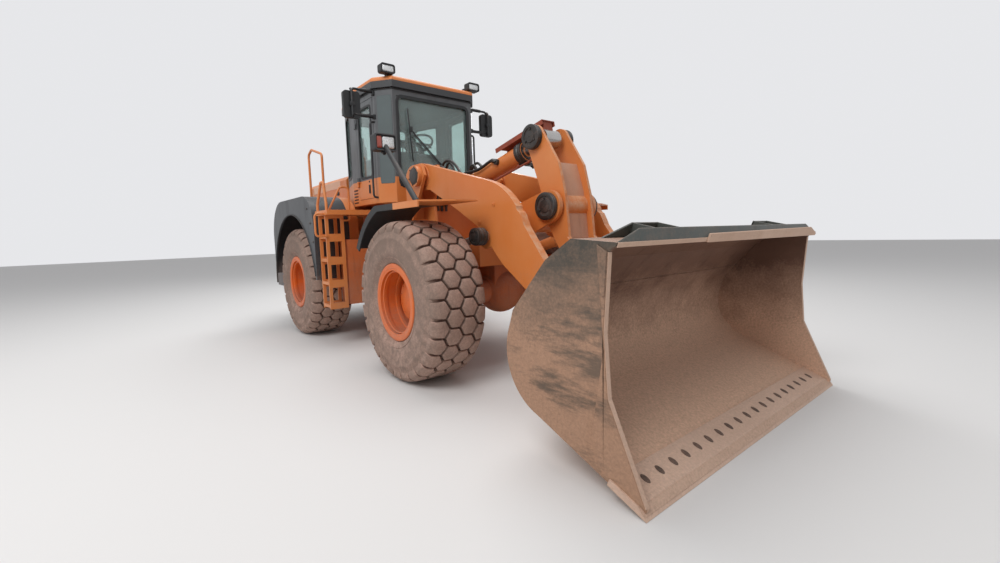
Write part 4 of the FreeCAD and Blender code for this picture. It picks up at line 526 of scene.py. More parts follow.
pin_steel = surface("pin_steel", (0.10, 0.09, 0.085), (0.16, 0.13, 0.11), (0.03, 0.025, 0.02), fading=0.6,
                    specks=0.6, rough=0.45, metal=0.5, dust=0.4, on_top=0.4, bump=0.6)
surface("rod_chrome", (0.5, 0.49, 0.48), (0.42, 0.4, 0.38), (0.12, 0.1, 0.09), runs=0.1, specks=0.15,
        rough=0.22, metal=0.9, dust=0.2, on_top=0.25, bump=0.05)
black_plastic = surface("black_plastic", (0.011, 0.012, 0.013), (0.022, 0.023, 0.025), (0.05, 0.045, 0.04),
                        fading=0.6, runs=0.1, specks=0.2, dust=0.25, on_top=0.14, top=1.4, bump=0.3)
seat_fabric = surface("seat_fabric", (0.035, 0.037, 0.042), (0.06, 0.062, 0.068), (0.02, 0.02, 0.02),
                      fading=0.4, runs=0.0, specks=0.2, rough=0.9, dust=0.0, on_top=0.1, bump=0.8)
print(len(finishes), "finishes")

# %% [markdown]
# ### Glass
# Laminated safety glass is faintly green and never quite clean: a little of its light is lost in
# a thin veil, and its roughness follows a film of dust.
# %% The window glass
window_glass, tree, sockets = new_finish("window_glass")
sockets["Base Color"].default_value = (0.72, 0.88, 0.85, 1)
sockets["Transmission Weight"].default_value = 0.87
sockets["IOR"].default_value = 1.45
smear = noise(tree, object_place(tree), 2.5, 7.0, 0.65)
tree.links.new(ramp(tree, smear, 0.45, 0.85, 0.0, 0.12), sockets["Roughness"])
finishes["window_glass"] = window_glass

# %% [markdown]
# ## Dressing the solids
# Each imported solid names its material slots. The finish for a slot is put in place of the plain
# one, so a solid whose shape is right needs nothing more.
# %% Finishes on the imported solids
slot_of = {part["node"]: part["material_slot"] for part in frame["record"]["subparts"]}


def dress(name, material):
    item = nodes[name]
    item.data.materials.clear()
    item.data.materials.append(material)


for name in nodes:
    dress(name, finishes[slot_of[name]])
print("dressed", len(nodes), "solids")


# %% [markdown]
# The boom's plates are painted pale in patches where they face forward and up: a painted highlight
# from the sky. The tyres' sidewalls are scrubbed. The mask is the share of the surface normal that
# looks one way, so the other sides keep their finish.
# %% Painted highlight on the boom, scrubbed sidewalls
def scrub_and_highlight(name, source, way, colour, low, high, both_sides=False):
    """A finish with another colour, in patches, where faces look one way or also its opposite."""
    material, tree, sockets = new_finish(name, source)
    wires = {0: surface_normal(tree), 1: way}
    toward = add(tree, "VectorMath", wires, operation="DOT_PRODUCT").outputs["Value"]
    if both_sides:
        toward = math_of(tree, "ABSOLUTE", toward)
    patchy = ramp(tree, noise(tree, object_place(tree), 14.0, 7.0, 0.7), 0.4, 0.62, 0.08, 0.85)
    cover(tree, sockets, math_of(tree, "MULTIPLY", ramp(tree, toward, low, high), patchy), rgba(colour))
    return material


# Painted highlight: the boom's and bellcrank's faces that look forward and up are painted pale.
boom_sky_highlight = scrub_and_highlight("boom_sky_highlight", orange_paint, (0.86, 0.0, 0.5), (0.68, 0.38, 0.22), 0.6, 0.95)
dress("boom_arms", boom_sky_highlight)
dress("bellcrank", boom_sky_highlight)
worn_and_shaded_tyre = scrub_and_highlight("tyre_rubber_worn_and_shaded", tyre_rubber, (0, 1, 0), (0.22, 0.155, 0.122), 0.35, 0.8, True)

# %% [markdown]
# Painted shade darkens the grooves between the tyres' blocks: on faces that look along the tread and
# lie below its crown. The radius is measured from the nearer of the two axles.
# %% Painted shade in the tread's grooves
GROOVE_R, CROWN_R = 0.768, 0.79
tree, sockets = worn_and_shaded_tyre.node_tree, worn_and_shaded_tyre.node_tree.nodes["Principled BSDF"].inputs
place = add(tree, "SeparateXYZ", {0: object_place(tree)}).outputs
from_hinge = math_of(tree, "ABSOLUTE", math_of(tree, "SUBTRACT", place["X"], HINGE_X))
arm = {0: math_of(tree, "SUBTRACT", from_hinge, HALF_BASE), 1: 0.0,
       2: math_of(tree, "SUBTRACT", place["Z"], AXLE_Z)}
arm = add(tree, "CombineXYZ", arm).outputs[0]
radius = add(tree, "VectorMath", {0: arm}, operation="LENGTH").outputs["Value"]
sideways = math_of(tree, "ABSOLUTE", axis_of(tree, surface_normal(tree), "Y"))
# Painted shade: groove faces below the crown that look along the tread are darkened.
groove_shade = math_of(tree, "MULTIPLY", ramp(tree, radius, GROOVE_R, CROWN_R, 1.0, 0.0),
                 ramp(tree, sideways, 0.15, 0.4, 0.85, 0.0))
cover(tree, sockets, groove_shade, (0.13, 0.07, 0.052, 1))

# %% [markdown]
# ## Tyres
# A loader's tyre is a fat casing with thick blocks in interlocking six-sided shapes. The casing
# is one profile spun round the axle. The blocks repeat 28 times: one slice of four blocks is cut
# from flat plates, bent onto the drum, rounded, and spun in copies.
# %% The casing
TYRE_R, BLOCKS, BLOCK_DEPTH, ROW_OUT, ROW_IN = 0.8, 28, 0.056, 0.225, 0.075
half_profile = [
    (0.331, -0.244), (0.386, -0.2455), (0.392, -0.262), (0.430, -0.279), (0.446, -0.291), (0.452, -0.286),
    (0.458, -0.291), (0.50, -0.297), (0.56, -0.2995), (0.612, -0.296), (0.622, -0.2995), (0.640, -0.299),
    (0.650, -0.292), (0.690, -0.286), (0.716, -0.276), (0.732, -0.264), (0.744, -0.244), (0.752, -0.215),
    (0.757, -0.16), (0.76, -0.08), (0.761, 0.0)]
tyre_profile = half_profile + [(r, -y) for r, y in reversed(half_profile[:-1])]


def crown(y):
    """The blocks' outer radius over the tread's width."""
    wide = abs(y)
    if wide < 0.2:
        return TYRE_R - 0.005 * (wide / 0.2) ** 2
    return TYRE_R - 0.005 - 0.052 * ((wide - 0.2) / 0.088) ** 2


# %% One slice of blocks
def tread_block(corners, row_y, turn, centre):
    """A flat block, cut into strips and bent onto the tyre's drum."""
    flat = plate("tread_block", [(u, y + row_y, 0) for u, y in corners], (0, 0, 1))
    cuts = [((u, 0, 0), (1, 0, 0)) for u in (-0.045, 0.0, 0.045)]
    cuts += [((0, y, 0), (0, 1, 0)) for y in (-0.262, -0.235, 0.235, 0.262)]
    for at, across in cuts:
        editing(flat)
        bpy.ops.mesh.bisect(plane_co=at, plane_no=across)
    done_editing()
    for vertex in flat.data.vertices:
        u, y, lift = vertex.co
        angle = u / TYRE_R + turn
        radius = crown(y) if lift > 0.5 else crown(y) - BLOCK_DEPTH
        x, z = radius * math.sin(angle), radius * math.cos(angle)
        vertex.co = (centre[0] + x, centre[1] + y, centre[2] + z)
    return outward(flat)


HEX = [(0.079, 0.041), (0.0, 0.0875), (-0.079, 0.041), (-0.079, -0.041), (0.0, -0.0875), (0.079, -0.041)]
SHOULDER = HEX[:3] + [(-0.074, -0.052), (-0.066, -0.062), (0.066, -0.062), (0.074, -0.052)]


def tyre(name, centre, body):
    casing = spun("casing", tyre_profile, centre, steps=96)
    pitch = 2 * math.pi / BLOCKS
    other = [(u, -y) for u, y in reversed(SHOULDER)]
    rows = ((SHOULDER, -ROW_OUT, 0), (HEX, -ROW_IN, pitch / 2), (HEX, ROW_IN, 0), (other, ROW_OUT, pitch / 2))
    blocks = soften(joined("blocks", [tread_block(*row, centre) for row in rows]), 0.006, 2, 40)
    editing(blocks)
    bpy.ops.mesh.spin(steps=BLOCKS - 1, angle=2 * math.pi - pitch, center=centre, axis=(0, 1, 0), dupli=True)
    done_editing()
    whole = fit(f"{name}_worn", body, worn_and_shaded_tyre, casing, blocks)
    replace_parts(whole, name)


WHEELS = [(f"{end}_{side}", (HINGE_X + x, sign * HALF_TRACK, AXLE_Z), sign)
          for end, x in (("front", HALF_BASE), ("rear", -HALF_BASE)) for side, sign in SIDES]
for corner, centre, sign in WHEELS:
    tyre(f"tyre_{corner}", centre, f"wheel_{corner}")


# %% [markdown]
# ## Rims
# The rim has a rolled outer flange, a lock ring inside it and a dished disc deep in the wheel
# with a ring of nuts round the hub. Rings are spun; nuts and bolts stand on circles.
# %% Rim rings, nuts and hub
NUT_CIRCLE, COVER_CIRCLE = 0.255, 0.185


def rim(corner, centre, sign):
    cx, cy, cz = centre
    rings = (((0.318, 0.238), (0.33, 0.2655), (0.345, 0.272), (0.372, 0.272), (0.384, 0.266), (0.386, 0.252),
              (0.376, 0.2465), (0.34, 0.2465), (0.326, 0.236)),
             ((0.3135, 0.19), (0.3135, 0.236), (0.306, 0.241), (0.298, 0.236), (0.298, 0.205), (0.304, 0.19)),
             ((0.3135, 0.05), (0.3135, 0.10), (0.3, 0.094), (0.296, 0.07), (0.3, 0.052)),
             ((0.004, 0.081), (0.004, 0.118), (0.09, 0.116), (0.128, 0.108), (0.16, 0.094), (0.205, 0.09),
              (0.213, 0.082)))
    parts = [spun("rim_ring", profile, centre, sign) for profile in rings]
    soften(parts[0], 0.002)

    def stands(name, x, z, low, high, radius, sides, edge=0):
        start, end = [(cx + x, cy + sign * y, cz + z) for y in (low, high)]
        return bar(name, start, end, radius, sides, edge)
    for x, z in circle_of(16, NUT_CIRCLE):
        parts += [stands("wheel_nut", x, z, -0.001, 0.025, 0.02, 6, 0.002),
                  stands("wheel_stud", x, z, -0.001, 0.039, 0.011, 10)]
    for x, z in circle_of(12, COVER_CIRCLE, 15):
        parts.append(stands("cover_bolt", x, z, 0.088, 0.1, 0.009, 6))
    whole = fit(f"rim_rings_{corner}", f"wheel_{corner}", rim_paint, *parts)


for corner, centre, sign in WHEELS:
    rim(corner, centre, sign)

# %% [markdown]
# ## Two paints on one solid
# The cab is orange below its windows and grey above, and the rails are orange but for the black
# grab rail at each door. A test on the place picks which paint shows.
# %% Paint picked by place
def picked(tree, place, axis, how, level):
    """White where the distance from the middle along an axis is over or under a level."""
    return math_of(tree, how, math_of(tree, "ABSOLUTE", axis_of(tree, place, axis)), level)


def two_tone(name, other, faded, axis, level, how="GREATER_THAN"):
    material, tree, sockets = new_finish(name, orange_paint)
    worn = weathered(tree, other, faded, (0.02, 0.018, 0.016))
    cover(tree, sockets, picked(tree, object_place(tree), axis, how, level), worn["Color"])
    return material


SILL_Z, RAIL_Y, RIM_Z = 2.2, 0.9, 3.372
cab_paint = two_tone("cab_paint", (0.075, 0.08, 0.085), (0.15, 0.155, 0.16), "Z", SILL_Z)
for name in ("cab_shell", "cab_door_left", "cab_door_right"):
    dress(name, cab_paint)
rail_paint = two_tone("rail_paint", (0.02, 0.021, 0.023), (0.04, 0.04, 0.042), "Y", RAIL_Y, "LESS_THAN")
dress("handrails", rail_paint)

# %% [markdown]
# ## Window seals
# Each pane sits in a black rubber seal with round corners. The windscreen's seal is the widest.
# %% Seals round the panes
SCREEN_X, REAR_PANE_X, DOOR_PANE_Y = -0.189, -1.812, 0.732
QUARTER_FRONT, QUARTER_LEAN = (-1.83, 0.56), 0.19 / 0.64
screen = facing_x(round_corners(-0.562, 0.562, 2.063, 3.217, 0.09), SCREEN_X)
rear_pane = facing_x(round_corners(-0.487, 0.487, 2.433, 3.197, 0.09), REAR_PANE_X)
seals = [flat_ring("seal", screen, 0.042, (0.026, 0, 0), 0.003),
         flat_ring("seal", rear_pane, 0.04, (-0.024, 0, 0), 0.003)]
for side, sign in SIDES:
    shape = [(x, QUARTER_FRONT[1] + QUARTER_LEAN * (x - QUARTER_FRONT[0]) + 0.006, z)
             for x, z in round_corners(-1.757, -1.233, 2.283, 3.197, 0.09)]
    seals.append(flat_ring("seal", on_side(shape, sign), 0.04, (0, sign * -0.024, 0), 0.003))
fit("window_seals", "rear_frame", black_plastic, *seals)
for side, sign in SIDES:
    shape = facing_y(round_corners(-0.915, -0.495, 2.219, 3.145, 0.07), sign * DOOR_PANE_Y)
    fit(f"door_seal_{side}", f"cab_door_{side}", black_plastic,
        flat_ring("seal", shape, 0.03, (0, sign * 0.025, 0), 0.003))

# %% [markdown]
# ## Roof gasket, handles, louvres
# A dark strip lies between the roof and the walls. The door has a sunk handle plate, and the
# panel behind it breathes through five short slots, drawn as black plates: painted shade in the openings.
# %% Gasket under the roof
roof_half = [(-0.166, 0.602), (-0.368, 0.754), (-1.192, 0.754), (-1.834, 0.563)]
roof_line = [(-0.166, -0.602)] + roof_half + [(x, -y) for x, y in reversed(roof_half[1:])]
gasket = plate("gasket", [(x, y, 3.266) for x, y in roof_line], (0, 0, 0.0235), 0.004)
fit("roof_gasket", "rear_frame", black_plastic, gasket)

# %% Handle plates and louvres
DOOR_FACE, HANDLE_X, SLOT_Z, SLOT_PITCH = 0.7495, -0.638, 1.915, 0.042
for side, sign in SIDES:
    face = sign * DOOR_FACE
    edge = facing_y(round_corners(-0.662, -0.614, 2.02, 2.135, 0.012), face)
    well = facing_y(round_corners(-0.656, -0.62, 2.026, 2.129, 0.008), face)
    grip = [(HANDLE_X, sign * 0.754, z) for z in (2.036, 2.119)]
    fit(f"door_handle_{side}", f"cab_door_{side}", black_plastic,
        flat_ring("handle_rim", edge, 0.007, (0, sign * 0.007, 0), 0.0015),
        plate("handle_well", well, (0, sign * 0.0025, 0)), bar("handle_grip", *grip, 0.006, 12, 0.002, 2),
        bar("door_lock", (HANDLE_X, face, 2.175), (HANDLE_X, sign * 0.758, 2.175), 0.012, 16, 0.002, 2))
    slots, hoods = [], []
    for z in [SLOT_Z + number * SLOT_PITCH for number in range(5)]:
        slot = facing_y(round_corners(-1.168, -1.035, z, z + 0.016, 0.006), face)
        slots.append(plate("louvre", slot, (0, sign * 0.003, 0)))
        hood = [(-1.172, y, z + up)
                for y, up in ((0.749, 0.016), (0.7605, 0.018), (0.7615, 0.021), (0.749, 0.027))]
        hoods.append(plate("louvre_hood", on_side(hood, sign), (0.141, 0, 0), 0.002))
    # Painted shade: each slot is a black plate standing for the shade inside the opening.
    fit(f"louvre_slot_shades_{side}", "rear_frame", black_plastic, *slots)
    fit(f"louvre_hoods_{side}", "rear_frame", orange_paint, *hoods)

# %% [markdown]
# ## Wipers
# The long blade stands upright on the driver's line of sight, carried at its middle by two arms
# that start low beside it.
# %% The windscreen wiper
pieces = [("wiper_blade", (-0.163, -0.398, 3.06), (-0.163, -0.35, 2.40), 0.008, 8, None),
          ("wiper_rubber", (-0.176, -0.398, 3.05), (-0.176, -0.35, 2.41), 0.0055, 6, None),
          ("wiper_arm", (-0.15, -0.375, 2.80), (-0.15, 0.40, 2.075), 0.0085, 10, 0.011),
          ("wiper_arm", (-0.152, -0.33, 2.735), (-0.152, 0.33, 2.105), 0.006, 10, 0.008),
          ("wiper_hub", (-0.19, 0.40, 2.075), (-0.138, 0.40, 2.075), 0.026, 20, None),
          ("wiper_hub", (-0.19, 0.33, 2.105), (-0.142, 0.33, 2.105), 0.018, 20, None)]
pieces = [bar(name, start, end, radius, sides, 0.002, 1, radius_end)
          for name, start, end, radius, sides, radius_end in pieces]
clip = block("wiper_clip", (-0.17, -0.395, 2.765), (-0.142, -0.345, 2.835), 0.006)
fit("screen_wiper", "rear_frame", black_plastic, *pieces, clip)

# %% [markdown]
# ## Lamps
# A ribbed, crowned lens closes the mouth of every lamp. Tail lamps and the outer part of the
# headlamps are coloured.
# %% Lens finishes
def lens(name, colour, rough, metal, ribs, relief=0.6):
    material, tree, sockets = new_finish(name)
    place = object_place(tree)
    wires = {"Vector": place, "Scale": ribs, "Distortion": 0.3, "Detail": 1.0}
    lines = add(tree, "TexWave", wires, bands_direction="Y").outputs["Fac"]
    clouds = noise(tree, place, 30.0, 4.0)
    shade = math_of(tree, "MULTIPLY", lines, clouds)
    tree.links.new(blend(tree, shade, rgba(colour), rgba(colour, 0.55)), sockets["Base Color"])
    tree.links.new(math_of(tree, "MULTIPLY_ADD", clouds, 0.2, rough), sockets["Roughness"])
    tree.links.new(bump_of(tree, lines, relief, 0.003), sockets["Normal"])
    sockets["Metallic"].default_value = metal
    sockets["Coat Weight"].default_value = 1.0
    sockets["Coat Roughness"].default_value = 0.04
    return material


clear_lens = lens("clear_lens", (0.80, 0.82, 0.82), 0.18, 0.55, 28.0)
amber_lens = lens("amber_lens", (0.42, 0.05, 0.02), 0.2, 0.0, 30.0)
red_lens = lens("red_lens", (0.35, 0.02, 0.012), 0.2, 0.0, 30.0)


# %% Lenses of the work lamps and tail lamps
def crowned_lens(name, shape, x, bulge, body, material):
    """A lens plate whose middle stands proud of its rim."""
    item = plate("lens", facing_x(shape, x), (bulge * 0.4, 0, 0))
    editing(item)
    bpy.ops.mesh.select_all(action="DESELECT")
    done_editing()
    front = max(item.data.polygons, key=lambda face: face.center.x * math.copysign(1, bulge))
    front.select = True
    pick(item)
    bpy.ops.object.mode_set(mode="EDIT")
    bpy.ops.mesh.select_mode(type="FACE")
    bpy.ops.mesh.inset(thickness=0.012)
    bpy.ops.transform.translate(value=(bulge * 0.6, 0, 0))
    bpy.ops.mesh.select_mode(type="VERT")
    done_editing()
    fit(name, body, material, soften(item, 0.002, 2))


WORK_Z, TAIL_Z, HEAD_Z = (3.458, 3.5325), (1.578, 1.672), (2.378, 2.502)
ROOF_X, BACK_X, TAIL_X, HEAD_X, HEAD_Y = -0.152, -1.838, -3.538, 0.598, 1.1
LENSES = (("roof_lens", 0.573, 0.727, WORK_Z, 0.02, ROOF_X, 0.009, "rear_frame", clear_lens),
          ("back_lens", 0.343, 0.497, WORK_Z, 0.02, BACK_X, -0.009, "rear_frame", clear_lens),
          ("tail_lens_red", 0.99, 1.092, TAIL_Z, 0.015, TAIL_X, -0.009, "rear_frame", red_lens),
          ("tail_lens_amber", 0.868, 0.982, TAIL_Z, 0.015, TAIL_X, -0.009, "rear_frame", amber_lens),
          ("head_lens", 1.0, 1.135, HEAD_Z, 0.02, HEAD_X, 0.010, "front_frame", clear_lens),
          ("turn_lens", 1.143, 1.202, HEAD_Z, 0.018, HEAD_X, 0.010, "front_frame", amber_lens))
for side, sign in SIDES:
    for name, near, far, (low, high), radius, x, bulge, body, material in LENSES:
        shape = round_corners(sign * near, sign * far, low, high, radius)
        crowned_lens(f"{name}_{side}", shape, x, bulge, body, material)
    shape = round_corners(sign * 0.977, sign * 1.223, 2.352, 2.528, 0.03)
    fit(f"head_trim_{side}", "front_frame", pillar_paint,
        flat_ring("trim", facing_x(shape, 0.6095), 0.012, (0.006, 0, 0), 0.002, 2))
    y = sign * HEAD_Y
    fit(f"lamp_clamp_{side}", "front_frame", black_plastic,
        bar("clamp", (0.555, y, 2.335), (0.555, y, 2.352), 0.035, 24, 0.004, 2),
        bar("nut", (0.555, y, 2.318), (0.555, y, 2.337), 0.018, 6, 0.003))

# %% [markdown]
# ## Mirrors
# The glass is on the back of each head. The bent tube passes in front of the head, which hangs
# on it by a clamp.
# %% Mirror glass, tube and clamp
MIRROR_Y, LOOP_X, FOOT_X = 1.045, -0.352, -0.38
mirror_glass = lens("mirror_glass", (0.85, 0.87, 0.88), 0.0, 1.0, 0.0, 0.0)
for side, sign in SIDES:
    shape = facing_x(round_corners(sign * 0.957, sign * 1.123, 2.925, 3.195, 0.03), -0.4248)
    fit(f"mirror_glass_{side}", "rear_frame", mirror_glass, plate("glass", shape, (-0.003, 0, 0), 0.001))
    y = sign * MIRROR_Y
    loop = [(FOOT_X, y, 3.245), (LOOP_X, y, 3.225), (LOOP_X, y, 2.93), (FOOT_X, y, 2.91)]
    fit(f"mirror_loop_{side}", "rear_frame", black_plastic, tube("loop", loop, 0.017, 0.02),
        block("clamp", (-0.372, y - 0.03, 3.035), (-0.336, y + 0.03, 3.085), 0.006))
    ends = [block("foot", (FOOT_X - 0.025, sign * 0.745, z - 0.028),
                  (FOOT_X + 0.025, sign * 0.775, z + 0.028), 0.006)
            for z in (3.238, 2.95)]
    ends += [bar("sleeve", (FOOT_X, sign * 0.772, z), (FOOT_X, sign * 0.93, z), 0.0215, 24, 0.006, 2)
             for z in (3.255, 2.95)]
    fit(f"mirror_feet_{side}", "rear_frame", black_plastic, *ends)

# %% [markdown]
# ## Corner panes and roof edge
# The windscreen's tinted glass goes on round the corner to the door's pillar. Only the top of the
# roof's edge is orange; the rest of it is a dark visor.
# %% Tinted corner panes
corner_glass, tree, sockets = new_finish("corner_glass")
clouds = noise(tree, object_place(tree), 1.8, 5.0, 0.6)
TINT = (0.10, 0.135, 0.135)
tree.links.new(blend(tree, clouds, rgba(TINT, 0.45), rgba(TINT)), sockets["Base Color"])
tree.links.new(math_of(tree, "MULTIPLY_ADD", clouds, 0.12, 0.02), sockets["Roughness"])
sockets["Coat Weight"].default_value = 1.0
sockets["Coat Roughness"].default_value = 0.03
for side, sign in SIDES:
    out = Vector((0.6, sign * 0.8, 0))
    corner = Vector((-0.17, sign * 0.6, 0)) + 0.001 * out
    shape = [corner + share * Vector((-0.2, sign * 0.15, 0)) + Vector((0, 0, z))
             for share, z in round_corners(0.06, 0.86, 2.12, 3.2, 0.05)]
    fit(f"corner_pane_{side}", "rear_frame", corner_glass, plate("pane", shape, 0.004 * out, 0.0015))
dress("cab_roof", two_tone("roof_paint", (0.03, 0.032, 0.035), (0.06, 0.06, 0.062), "Z", RIM_Z, "LESS_THAN"))


# %% [markdown]
# ## The seat
# A sprung seat has a crowned cushion, a back that follows the spine and a small head pad, all in
# black cloth over plastic shells. Each pad starts as a block that is divided finely, then its
# faces are moved out to a crown and its sides drawn in between the corners.
# %% Pads
def cushion(name, low, high, crown, pull, axis):
    """A crowned pad between two corners; it swells along its thin axis."""
    item = block(name, low, high, min(b - a for a, b in zip(low, high)) * 0.28, 4)
    editing(item)
    bpy.ops.mesh.subdivide(number_cuts=5)
    done_editing()
    middle = [(a + b) / 2 for a, b in zip(low, high)]
    half = [(b - a) / 2 for a, b in zip(low, high)]
    wide = [i for i in range(3) if i != axis]
    for vertex in item.data.vertices:
        share = [(vertex.co[i] - middle[i]) / half[i] for i in range(3)]
        swell = (1 - share[wide[0]] ** 2) * (1 - share[wide[1]] ** 2)
        vertex.co[axis] -= share[axis] * crown * (1 - swell)
        for one, two in (wide, wide[::-1]):
            vertex.co[one] -= share[one] * pull * (1 - share[two] ** 2)
    step = item.modifiers.new("smooth", "SUBSURF")
    step.levels = step.render_levels = 1
    pick(item)
    bpy.ops.object.modifier_apply(modifier=step.name)
    return item


def lean(item):
    """Tips a piece back about the line where the seat's back starts."""
    pick(item)
    bpy.ops.transform.rotate(value=math.radians(-13), orient_axis="Y", center_override=(-1.29, 0, 2.335))
    return settle(item)


pads = ((cushion("seat_cushion_pad", (-1.31, -0.235, 2.205), (-0.805, 0.235, 2.325), 0.022, 0.012, 2), 0.7),
        (lean(cushion("seat_back_pad", (-1.335, -0.215, 2.335), (-1.24, 0.215, 2.735), 0.02, 0.012, 0)), 0.7),
        (lean(cushion("seat_head_pad", (-1.33, -0.13, 2.775), (-1.255, 0.13, 2.905), 0.016, 0.01, 0)), 0.8))
for item, fill in pads:
    fit(item.name, "rear_frame", seat_fabric, item, smooth=80)
    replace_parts(item, "operator_seat")

# %% Seat pan, suspension and arms
pan = [(-1.31, 2.205), (-1.315, 2.175), (-1.27, 2.16), (-0.85, 2.16), (-0.806, 2.178), (-0.806, 2.205)]
parts = [plate("seat_pan", facing_y(pan, -0.225), (0, 0.45, 0), 0.008, 2),
         block("seat_foot", (-1.25, -0.18, 1.9305), (-0.87, 0.18, 1.968), 0.008),
         soften(lean(block("seat_shell", (-1.347, -0.2, 2.34), (-1.333, 0.2, 2.72))), 0.006, 2)]
for number in range(5):
    back, z = -1.23 + 0.012 * (number % 2), 1.965 + number * 0.04
    parts.append(block("bellows", (back, -0.17, z), (-0.89, 0.17, z + 0.036), 0.014, 3))
parts += [lean(bar("head_stem", (-1.3, y, 2.7), (-1.3, y, 2.8), 0.007, 12)) for y in (-0.06, 0.06)]
for side, sign in SIDES:
    parts.append(block("arm_rest", (-1.29, sign * 0.262, 2.462), (-0.905, sign * 0.325, 2.515), 0.018, 4))
    post = [(-1.24, 0.236, 2.24), (-1.24, 0.29, 2.30), (-1.22, 0.293, 2.47)]
    parts.append(tube("arm_post", on_side(post, sign), 0.014, 0.03))
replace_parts(fit("seat_frame", "rear_frame", black_plastic, *parts), "operator_seat")

# %% [markdown]
# ## The driver's controls
# A gear lever stalk and two loader levers stand by the wheel and on the side console.
# %% Levers
levers = []
for x, y in ((-0.72, -0.49), (-0.72, -0.56), (-0.86, -0.52)):
    levers += [bar("lever_stem", (x, y, 2.488), (x + 0.02, y, 2.60), 0.008, 12),
               bar("lever_knob", (x + 0.018, y, 2.59), (x + 0.026, y, 2.65), 0.02, 16, 0.006, 3, 0.015)]
levers += [bar("gear_stalk", (-0.60, 0.02, 2.66), (-0.62, 0.21, 2.70), 0.008, 12),
           bar("wheel_boss", (-0.63, 0, 2.695), (-0.604, 0, 2.742), 0.045, 24, 0.006, 3, 0.035)]
fit("driver_levers", "rear_frame", black_plastic, *levers)

# %% [markdown]
# ## Greasy bosses at the pins
# Every big pin ends in a black ribbed cap with a bolted keeper plate. A cap is a stepped
# profile spun round the pin; the same recipe serves all of them at other sizes.
# %% Ribbed caps
CRANK_TOP, CRANK_PIVOT, LINK_PIN = (1.92, 2.36), (2.16, 1.685), (2.57, 0.816)
LIFT_EYE, BOOM_NOSE, BOOM_FOOT = (1.65, 1.42), (2.76, 0.78), (0.5, 2.12)
grease = surface("grease_black", (0.018, 0.017, 0.016), (0.05, 0.042, 0.036), (0.12, 0.08, 0.06), fading=0.6,
                 runs=0.25, specks=0.5, rough=0.36, dust=0.16, on_top=0.14, top=2.4, scale=7.0, bump=0.8)


def bolts_on(name, pin, circle, sign, low, high, radius):
    """Six-sided heads on a bolt circle round a pin that lies across the machine."""
    return [bar(name, (pin[0] + x, sign * low, pin[1] + z), (pin[0] + x, sign * high, pin[1] + z),
                radius, 6, 0.0015)
            for x, z in circle]


def ribbed_cap(name, pin, radius, y_in, y_out, sign, body, ribs):
    """A cap from y_in to y_out whose rim has rounded ribs and whose face is stepped."""
    wide = (y_out - y_in) / ribs
    profile = [(0.004, y_in), (radius * 0.97, y_in)]
    for start in [y_in + number * wide for number in range(ribs)]:
        profile += [(radius * share, start + wide * step)
                    for share, step in ((0.95, 0.08), (1, 0.25), (1, 0.75), (0.95, 0.92))]
    face = ((0.9, 0), (0.72, 0), (0.68, -0.008), (0.5, -0.008), (0.46, 0), (0.2, 0.003))
    profile += [(radius * share, y_out + step) for share, step in face]
    profile.append((0.004, y_out + 0.003))
    heads = bolts_on("keeper_bolt", pin, circle_of(3, radius * 0.58, 90), sign, y_out - 0.009, y_out + 0.004,
                     radius * 0.1)
    fit(name, body, grease, spun("cap", profile, (pin[0], 0, pin[1]), sign, 48), *heads)


for side, sign in SIDES:
    ribbed_cap(f"crank_top_cap_{side}", CRANK_TOP, 0.118, 0.1925, 0.252, sign, "bellcrank", 3)
    ribbed_cap(f"pivot_end_cap_{side}", CRANK_PIVOT, 0.128, 0.262, 0.312, sign, "bellcrank_pin", 2)
    ribbed_cap(f"link_end_cap_{side}", LINK_PIN, 0.072, 0.1945, 0.226, sign, "link_pin", 2)
    ribbed_cap(f"lift_eye_cap_{side}", LIFT_EYE, 0.082, 0.7405, 0.757, sign, "lift_rods", 1)
    ribbed_cap(f"nose_end_cap_{side}", BOOM_NOSE, 0.077, 0.683, 0.692, sign, "bucket_pins", 1)

# %% Sleeves at the lift cylinders' eyes and covers at the boom's foot
sleeve = [(0.0785, 0.641), (0.086, 0.644), (0.087, 0.664), (0.083, 0.67), (0.087, 0.676), (0.087, 0.702),
          (0.083, 0.708), (0.087, 0.714), (0.086, 0.736), (0.0785, 0.739)]
cover_profile = [(0.004, 0.7295), (0.004, 0.742), (0.06, 0.741), (0.085, 0.737), (0.097, 0.7295)]
for side, sign in SIDES:
    fit(f"lift_eye_sleeve_{side}", "lift_rods", grease,
        spun("sleeve", sleeve, (LIFT_EYE[0], 0, LIFT_EYE[1]), sign, 48))
for side, sign in SIDES:
    heads = bolts_on("cover_bolt", BOOM_FOOT, circle_of(6, 0.1, 15), sign, 0.7295, 0.739, 0.009)
    fit(f"foot_cover_{side}", "front_frame", grease,
        spun("cover", cover_profile, (BOOM_FOOT[0], 0, BOOM_FOOT[1]), sign, 40), *heads)

# %% [markdown]
# ## Between the bellcrank's plates
# A web joins the two plates behind their front edges, painted pale as a painted highlight from the
# sky, with a gusset under it at each side that carries the boom's painted highlight.
# %% Web and gussets
WEB_HALF = 0.161
